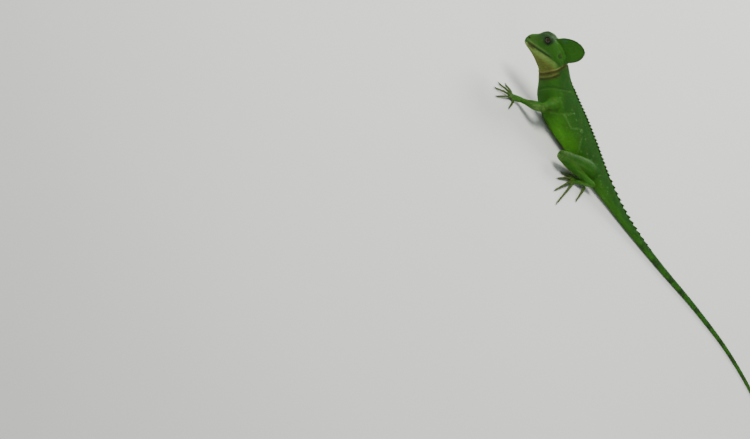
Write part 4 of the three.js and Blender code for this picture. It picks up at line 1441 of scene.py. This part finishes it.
# %% Plates of the lips
# Two rows of plates on the upper lip and two on the lower one: way from the mouth's line, length, height
LIP_ROW = UPPER_STEPS + 1  # first point of a half ring below the upper lip
plates = []
for away, long, high in ((1.25, 2.7, 1.75), (2.75, 1.9, 1.5), (-1.3, 2.7, 1.8), (-2.85, 1.9, 1.5)):
    back = 1.4 + (0.6 if abs(away) > 2 else 0)
    while back < MOUTH_CORNER + 1.5:
        half = head_half(back)
        line = half[LIP_ROW:] if away < 0 else half[:LIP_ROW][::-1]
        run = run_along(line)
        flat = [np.interp(abs(away) - 0.55, run, line[:, k]) for k in range(2)]
        for side in (1, -1):
            plates.append((back, side * flat[0], flat[1], long, high))
        back += long * 0.9
plates = np.array(plates)
spot = in_head(plates[:, 0], plates[:, 1], plates[:, 2])
lie = in_head(plates[:, 0] + 1, plates[:, 1] + np.sign(plates[:, 1]) * 0.3, plates[:, 2] - 0.12) - spot
size = np.stack([plates[:, 3] * 1.05, plates[:, 4], np.full(len(plates), 0.9)], -1)
uv = island(plates[:, 0] / HEAD_LENGTH, 0.5 + plates[:, 1] / 40, *HEAD_FIELD)
keep_roots(spot, lie, size, uv, HEAD_GROUP, 1.6)
print("plates on the lips:", len(plates))

# %% Granules of lids, nostrils and ears
# Granules in rows round the lids. The three rows next to the eye are the finest.
GRAIN_ROWS, FINE_ROWS = (45, 51.5, 58, 65.5, *range(73, 146, 8)), 3
LID_RADIUS = EYE_RADIUS + LID_THICKNESS
grains = []
for side in (1, -1):
    centre, gaze, (across, fall, _) = eye_frame(side)
    for row, degrees_out in enumerate(GRAIN_ROWS):
        ahead, aside = math.cos(math.radians(degrees_out)), math.sin(math.radians(degrees_out))
        count = int(2 * np.pi * LID_RADIUS * aside / (0.92 if row < FINE_ROWS else 1.15))
        for k in range(count):
            turn_by = 2 * np.pi * (k + 0.5 * (row % 2)) / count
            way = across * math.cos(turn_by) - fall * math.sin(turn_by)
            ray = gaze * ahead + way * aside
            root_spot = centre + ray * (LID_RADIUS - COAT_DEPTH)
            grains.append((root_spot, np.cross(gaze, way), side * k / count, row))
spot, lie, turned, grain_row = (np.array(part) for part in zip(*grains))
uv = island(0.5 + 0.02 * turned, np.full(len(grains), 0.3), *HEAD_FIELD)
size = np.array([0.95, 0.8, 0.85]) * np.where(grain_row < FINE_ROWS, 1, 1.28)[:, None]
good = (grain_row < FINE_ROWS) | ~taken_from(spot, 0.95)
keep_roots(spot[good], lie[good], size[good], uv[good], HEAD_GROUP, 0.3)

# One ring of granules round each nostril and two round each ear: radius and number
for (back, left, height), rings_about in ((NOSTRIL, ((1.5, 11),)), (EAR, ((2.85, 18), (3.7, 22)))):
    for side in (1, -1):
        for reach, count in rings_about:
            turn_by = turn_angles(count)
            spot = in_head(
                back + reach * np.cos(turn_by), side * (left + 0.2), height + reach * np.sin(turn_by))
            lie = np.stack([-np.sin(turn_by), 0 * turn_by, np.cos(turn_by)], -1) @ HEAD_AXES
            uv = island(np.full(count, back / HEAD_LENGTH), np.full(count, 0.5 + side * 0.3), *HEAD_FIELD)
            keep_roots(spot, lie, np.tile([0.98, 0.85, 0.9], (count, 1)), uv, HEAD_GROUP, 3.0)
print("granules round the eyes:", len(grains))

# %% Scales of the crest
# Larger scales in rows over both sides, and a row of small ones that makes its rim uneven
rim = spline(CREST_RIM + CREST_RIM[:1], 160)[:-1]
rim_run = run_along(np.vstack([rim, rim[:1]]))
rim_angles = np.arctan2(rim[:, 1] - CREST_MIDDLE[1], rim[:, 0] - CREST_MIDDLE[0])
flat = []
for row, height in enumerate(np.arange(-9, 21, 1.45)):
    for back in np.arange(33 + 0.95 * (row % 2), 72, 1.9):
        way = np.array([back, height]) - CREST_MIDDLE
        off = np.angle(np.exp(1j * (rim_angles - math.atan2(way[1], way[0]))))
        nearest = rim[np.argmin(np.abs(off))]
        if np.linalg.norm(way) < np.linalg.norm(nearest - CREST_MIDDLE) - 0.5:
            flat.append((back, height))
flat = np.array(flat)
out, half = smooth(0, 1, crest_out(*flat.T)), crest_half(flat)
for side in (1, -1):
    spot = in_head(flat[:, 0], side * half, flat[:, 1])
    way = unit(np.stack([0.9 + 0 * half, 0 * half, 0.18 + 0.02 * flat[:, 1]], -1)) @ HEAD_AXES
    size = np.tile([2.55, 1.85, 0.85], (len(flat), 1)) * np.clip(0.84 + 0.3 * out, 0.8, 1)[:, None]
    start = 0.32 if side > 0 else 0.5
    uv = island((flat[:, 0] - 30) / 45, (flat[:, 1] + 12) / 36, (start, 0.42), (start + 0.16, 0.70))
    good = ~taken_from(spot, 0.9)
    keep_roots(spot[good], way[good], size[good], uv[good], HEAD_GROUP, 1.7)
places = np.arange(0, rim_run[-1], 1.35)
edge = np.stack([np.interp(places, rim_run, np.append(rim[:, k], rim[0, k])) for k in range(2)], -1)
ahead = unit(np.roll(edge, -1, 0) - np.roll(edge, 1, 0))
show = (edge[:, 0] > 38) & ((edge[:, 1] > 14) | (edge[:, 0] > 60))
spot = in_head(edge[:, 0], 0, edge[:, 1])
way = np.stack([ahead[:, 0], 0 * places, ahead[:, 1]], -1) @ HEAD_AXES
uv = island(places / rim_run[-1], np.full(len(places), 0.5), (0.32, 0.715), (0.66, 0.72))
outer = np.stack([-ahead[:, 1], 0 * places, ahead[:, 0]], -1)
outer *= np.sign((outer[:, [0, 2]] * (edge - CREST_MIDDLE)).sum(1))[:, None]
size = np.tile([1.9, 1.25, 1.4], (show.sum(), 1))
keep_roots(spot[show], way[show], size, uv[show], HEAD_GROUP, 1.0, (outer @ HEAD_AXES)[show])
print("with head and crest:", sum(len(s) for s in root["spot"]))

# %% Scales of limbs and digits
DIGIT_WIDTH, SOLE_WIDTH, LIMB_WIDTH = 0.84, 1.02, 1.18
tube_number = 0
for name, (forms, claws) in limb_list.items():
    group = GROUPS.index("arms" if name.startswith("fore") else "legs")
    for part, points, sizes in forms:
        is_digit = part.startswith("digit")
        wide = DIGIT_WIDTH if is_digit else SOLE_WIDTH if part == "sole" else LIMB_WIDTH
        count = max(int(Path(points).length / (wide * ROW_STEP)), 6)
        rings = soft_tube(points, sizes, count, 24 if is_digit else 48)
        spot, lie, place, share, around = rows_on(rings, np.linspace(0, 1, len(rings)), wide)
        size = np.stack([around * 1.25, around * 1.0, np.full(len(spot), 0.72 if is_digit else 0.95)], -1)
        column, row = tube_number % 8, tube_number // 8
        low = (0.01 + 0.1225 * column, 0.73 + 0.066 * row)
        uv = island(place, share, low, (low[0] + 0.115, low[1] + 0.058))
        good = ~taken_from(spot, wide * 0.72)
        keep_roots(spot[good], lie[good], size[good], uv[good], group, 0.9)
        tube_number += 1
print("with limbs:", sum(len(s) for s in root["spot"]))

# %% [markdown]
# ## Scales in the gaps
# Where two forms meet, the rows of one end before those of the other begin. On the animal the skin folds
# there and small scales run on through it. So every point of the skin that is still bare gets a scale of its
# own, but not in the mouth's groove, the ears, the nostrils, the eyes or the paws.

# %% Fill the gaps
BARE, APART = 1.05, 0.95  # a point this far from every root is bare; new roots stand this far apart
faces_middle = np.empty(len(skin_faces) * 3)
skin.data.polygons.foreach_get("center", faces_middle)
faces_middle = faces_middle.reshape(-1, 3) / MM - SHIFT
first = np.array([face[0] for face in skin_faces])
skin_spots = vertex_places(skin)
wide_open = np.linalg.norm(faces_middle - skin_spots[first], axis=1) > 0.5
skin_spots = np.vstack([skin_spots, faces_middle[wide_open]])
known_skin = {key: np.concatenate([value, value[first[wide_open]]]) for key, value in known_skin.items()}
placed_tree = tree_of(np.vstack(root["spot"])[:, :3])
placed_uv, placed_group = np.vstack(root["uv"]), np.concatenate(root["group"])
found = [placed_tree.find(p) for p in skin_spots]
back, left, height = to_head(skin_spots).T
on_head = in_zones(known_skin, "head", "crest")
bare = (np.array([f[2] for f in found]) > BARE) & (skin_spots[:, 2] > 0.6)
bare &= ~in_zones(known_skin, "hand", "foot")
bare &= ~(on_head & (np.abs(height - mouth_height(back)) < 0.9) & (back < MOUTH_CORNER))
bare &= np.hypot(back - EAR[0], height - EAR[2]) + 9 * ~on_head > 2.9
bare &= from_feature(NOSTRIL, back, left, height) > 1.6
for side in (1, -1):
    in_socket = np.linalg.norm(skin_spots - eye_frame(side)[0], axis=1) <= EYE_RADIUS + 0.7
    bare &= ~in_socket & ~before_eye(skin_spots, side, 44)
index = np.flatnonzero(bare)
bare_tree = tree_of(skin_spots[index])
open_still = np.ones(len(index), bool)
chosen = []
for k, i in enumerate(index):
    if open_still[k]:
        chosen.append(i)
        for _, other, _ in bare_tree.find_range(skin_spots[i], APART):
            open_still[other] = False
nearest = np.array([found[i][1] for i in chosen])
keep_roots(skin_spots[chosen], known_skin["lie"][chosen], np.tile([1.45, 1.2, 0.85], (len(chosen), 1)),
           placed_uv[nearest] + 0.0015, placed_group[nearest], 0.5)
print("scales in gaps:", len(chosen))

# %% Sizes and colours of all scales
spot = np.vstack(root["spot"])
root = {key: np.concatenate(value) for key, value in root.items()}
root.update(spot=spot[:, :3], out=spot[:, 3:])
root["size"] *= rng.uniform(0.93, 1.07, (len(spot), 1))
known = look_up(root["spot"])
root["tint"] = tint(root["spot"], known) * rng.uniform(0.86, 1.12, (len(spot), 1))
print("scales:", len(spot), {g: int((root["group"] == i).sum()) for i, g in enumerate(GROUPS)})

# %% [markdown]
# ## One scale, and the tree that sets it thousands of times
# A scale is a small closed leaf with a keel: root, two shoulders, a tip that stands off a little. The node
# tree turns each copy so that its keel follows the lie of the body and its top faces out of the skin, and
# then turns all copies into plain mesh.

# %% The leaf and the tooth
def shape_object(name, points, faces):
    """A shape to be copied. Each point keeps where it lies in the leaf and how near the leaf's edge."""
    mesh = bpy.data.meshes.new(name)
    mesh.from_pydata([tuple(np.array(p) * MM) for p in points], [], faces)
    mesh.update()
    made = outward(put(name, mesh))
    spots = np.array(points, float)
    span = spots.max(0) - spots.min(0)
    flat = (spots - spots.min(0)) / span - 0.5
    edge = np.clip(np.abs(spots[:, 1]) / (span[1] / 2) + np.maximum(0, spots[:, 0]) * 0.9, 0, 1)
    store(mesh, "leaf", "FLOAT_VECTOR", np.stack([flat[:, 0], flat[:, 1], edge], -1))
    return shade_smooth(made)


LEAF = [
    (-0.48, -0.26, -0.12), (-0.48, 0.26, -0.12), (0.02, 0.5, -0.04), (0.56, 0.0, 0.06), (0.02, -0.5, -0.04),
    (-0.44, 0.0, 0.05), (0.02, 0.0, 0.26), (0.4, 0.0, 0.22), (-0.08, 0.33, 0.13), (-0.08, -0.33, 0.13),
]
LEAF_SIDE = [(1, 8, 5), (1, 2, 8), (5, 8, 6), (8, 2, 7), (8, 7, 6), (2, 3, 7)]
TWIN = {1: 0, 2: 4, 8: 9}
leaf_faces = [(0, 1, 5), (0, 2, 1), (0, 4, 2), (4, 3, 2)] + LEAF_SIDE
leaf_faces += [tuple(TWIN.get(i, i) for i in face)[::-1] for face in LEAF_SIDE]
leaf_object = shape_object("one_scale", LEAF, leaf_faces)

# Levels of a tooth, from its foot upwards: front, rear, half width, height
TOOTH_LEVELS = [
    (-2.5, 2.5, 0.75, -0.9), (-2.2, 2.3, 0.7, 0.5), (-1.1, 2.2, 0.48, 1.4), (0.4, 2.2, 0.28, 2.15)]
tooth_points = []
for front, rear, half_wide, high in TOOTH_LEVELS:
    middle = front * 0.45 + rear * 0.55
    tooth_points += [(front, 0, high), (middle, half_wide, high), (rear, 0, high), (middle, -half_wide, high)]
TOOTH_TIP = (2.5, 0, 2.9)
tooth_points.append(TOOTH_TIP)
tooth_faces = [(0, 1, 2, 3)]
for level in range(len(TOOTH_LEVELS) - 1):
    for k in range(4):
        a, b = level * 4 + k, level * 4 + (k + 1) % 4
        tooth_faces.append((a, b, b + 4, a + 4))
top = (len(TOOTH_LEVELS) - 1) * 4
tooth_faces += [(top + k, top + (k + 1) % 4, top + 4) for k in range(4)]
tooth_object = shape_object("one_tooth", tooth_points, tooth_faces)
print("triangles of one scale:", len(leaf_faces))

# %% The tree of nodes
PATCH = 0.003  # side of one scale's field on the unwrapped skin
VECTORS = ("out", "lie", "size", "root_uv")


def coat_tree(name, shape, material):
    tree = bpy.data.node_groups.new(name, "GeometryNodeTree")
    tree.interface.new_socket("Geometry", in_out="INPUT", socket_type="NodeSocketGeometry")
    for title, value in (("Growth", 1.0), ("Patch", PATCH)):
        tree.interface.new_socket(title, in_out="INPUT", socket_type="NodeSocketFloat").default_value = value
    tree.interface.new_socket("Geometry", in_out="OUTPUT", socket_type="NodeSocketGeometry")
    enter = tree.nodes.new("NodeGroupInput")
    leave = tree.nodes.new("NodeGroupOutput")

    def kept(attribute):
        return add_node(
            tree, "GeometryNodeInputNamedAttribute", {"Name": attribute}, data_type="FLOAT_VECTOR").outputs[0]

    info = add_node(tree, "GeometryNodeObjectInfo", {"Object": shape})
    turned = add_node(
        tree, "FunctionNodeAxesToRotation", {"Primary Axis": kept("out"), "Secondary Axis": kept("lie")},
        primary_axis="Z", secondary_axis="X")
    grown = add_node(
        tree, "ShaderNodeVectorMath", {0: kept("size"), 1: enter.outputs["Growth"]}, operation="MULTIPLY")
    copies = add_node(tree, "GeometryNodeInstanceOnPoints", {
        "Points": enter.outputs["Geometry"], "Instance": info.outputs["Geometry"],
        "Rotation": turned.outputs[0], "Scale": grown.outputs[0]})
    real = add_node(tree, "GeometryNodeRealizeInstances", {"Geometry": copies.outputs[0]})
    patch = add_node(
        tree, "ShaderNodeVectorMath", {0: kept("leaf"), 1: enter.outputs["Patch"], 2: kept("root_uv")},
        operation="MULTIPLY_ADD")
    stored = add_node(tree, "GeometryNodeStoreNamedAttribute", {
        "Geometry": real.outputs[0], "Name": "OFBake", "Value": patch.outputs[0]},
        data_type="FLOAT2", domain="CORNER")
    painted = add_node(tree, "GeometryNodeSetMaterial", {"Geometry": stored.outputs[0], "Material": material})
    tree.links.new(painted.outputs[0], leave.inputs[0])
    return tree


print("one scale's patch:", PATCH)

# %% Scattering
def scatter(name, tree, roots):
    """Set the tree's shape on every root, and keep the result as plain mesh."""
    made = new_object(name, roots["spot"], [])
    for key in VECTORS[:3]:
        store(made.data, key, "FLOAT_VECTOR", roots[key])
    store(made.data, "root_uv", "FLOAT_VECTOR", np.hstack([roots["uv"], np.zeros((len(roots["uv"]), 1))]))
    store_tint(made.data, roots["tint"])
    modifier = made.modifiers.new("coat", "NODES")
    modifier.node_group = tree
    inputs = {item.name: item.identifier for item in tree.interface.items_tree if item.in_out == "INPUT"}
    modifier[inputs["Growth"]] = 1.0
    modifier[inputs["Patch"]] = PATCH
    apply_modifiers(made)
    flat = np.empty(len(made.data.vertices) * 3, np.float32)
    made.data.vertices.foreach_get("co", flat)
    flat[2::3] = np.maximum(flat[2::3], COAT_CLEAR * MM)
    made.data.vertices.foreach_set("co", flat)
    for key in VECTORS:
        if key in made.data.attributes:
            made.data.attributes.remove(made.data.attributes[key])
    return made

print("vectors kept on each root:", *VECTORS)

# %% The coat
scale_material = skin_material("scales", SCALE_CELLS, (0.4, 0.56), 1.0)
tree, shader = scale_material.node_tree, scale_material.node_tree.nodes["Principled BSDF"]
edge = add_node(tree, "ShaderNodeSeparateXYZ", {0: kept_value(tree, "leaf", "Vector")}).outputs["Z"]
# Each scale is lighter in its middle and darker towards its sides and tip.
edge_darkening = add_node(tree, "ShaderNodeMapRange", {
    "Value": edge, "From Min": 0.25, "From Max": 1.0, "To Min": 1.12, "To Max": 0.62})
old = shader.inputs["Base Color"].links[0].from_socket
tree.links.new(times(tree, old, edge_darkening.outputs[0]), shader.inputs["Base Color"])
scale_tree = coat_tree("set_scales", leaf_object, scale_material)
coat = {}
for i, name in enumerate(GROUPS):
    mine = root["group"] == i
    coat[name] = scatter(f"scales_{name}", scale_tree, {key: value[mine] for key, value in root.items()})
    print(name, sum(len(p.vertices) - 2 for p in coat[name].data.polygons), "triangles")

# %% [markdown]
# ## The ridge
# From the nape to the base of the tail runs a row of flat scales like the teeth of a saw, each leaning back
# over the next. They are closer and smaller on the nape and fade out along the tail.

# %% Teeth of the ridge
RIDGE_START, RIDGE_END = 124.0, -100.0


def ridge_line(places):
    """Points on the ridge, at an angle of 0 round the body."""
    return body_rings(places, np.zeros((len(places), 1)))[:, 0]


ridge_places = []
place = RIDGE_START
while place > RIDGE_END:
    ridge_places.append(place)
    place -= (4.7 if place > 0 else 7.6) * (0.85 if place > 110 else 1)
ridge_places = np.array(ridge_places)
top = ridge_line(ridge_places)
ahead = unit(ridge_line(ridge_places + 1) - ridge_line(ridge_places - 1))
side = unit(np.cross(UP, ahead))
rise = np.cross(ahead, side)
fade = np.minimum(1, np.minimum((RIDGE_START + 6 - ridge_places) / 20, (ridge_places - RIDGE_END + 25) / 70))
long = np.where(ridge_places > 0, 1.0, 1.25) * (0.7 + 0.3 * fade)
size = np.stack([long, 0.55 + 0.45 * fade, fade], -1)
uv = island((NAPE - ridge_places) / (NAPE - VENT_X + TAIL_LENGTH), 0 * ridge_places, *BODY_FIELD)
ridge_tree = coat_tree("set_teeth", tooth_object, scale_material)
ridge = scatter("ridge_teeth", ridge_tree, {
    "spot": top - rise * 0.25, "out": rise, "lie": -ahead, "size": size, "uv": uv,
    "tint": tint(top, look_up(top)) * 0.8})
for made in (leaf_object, tooth_object):
    bpy.data.objects.remove(made)
print("teeth:", len(ridge_places))

# %% [markdown]
# ## Attach the pieces
# Every piece rides the one body of the model. The solids of flesh and the CAD eyes are hidden, and the skin
# and the eyeballs show in their place.

# %% Hide the solids and attach the pieces
FLESH = [
    "torso", "neck", "head", "head_crest", "tail_base", "tail_front", "tail_rear", "tail_tip",
    *(f"{part}_{side}" for part in ("upper_arm", "forearm", "hand", "thigh", "shank", "foot")
      for side in ("left", "right")),
]
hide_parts(*FLESH)
for side in ("left", "right"):
    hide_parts(f"eye_{side}")
    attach(eyes[f"eyeball_{side}"], "root")
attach(skin, "root")
for name, piece in coat.items():
    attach(piece, "root")
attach(ridge, "root")
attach(claws_piece, "root")
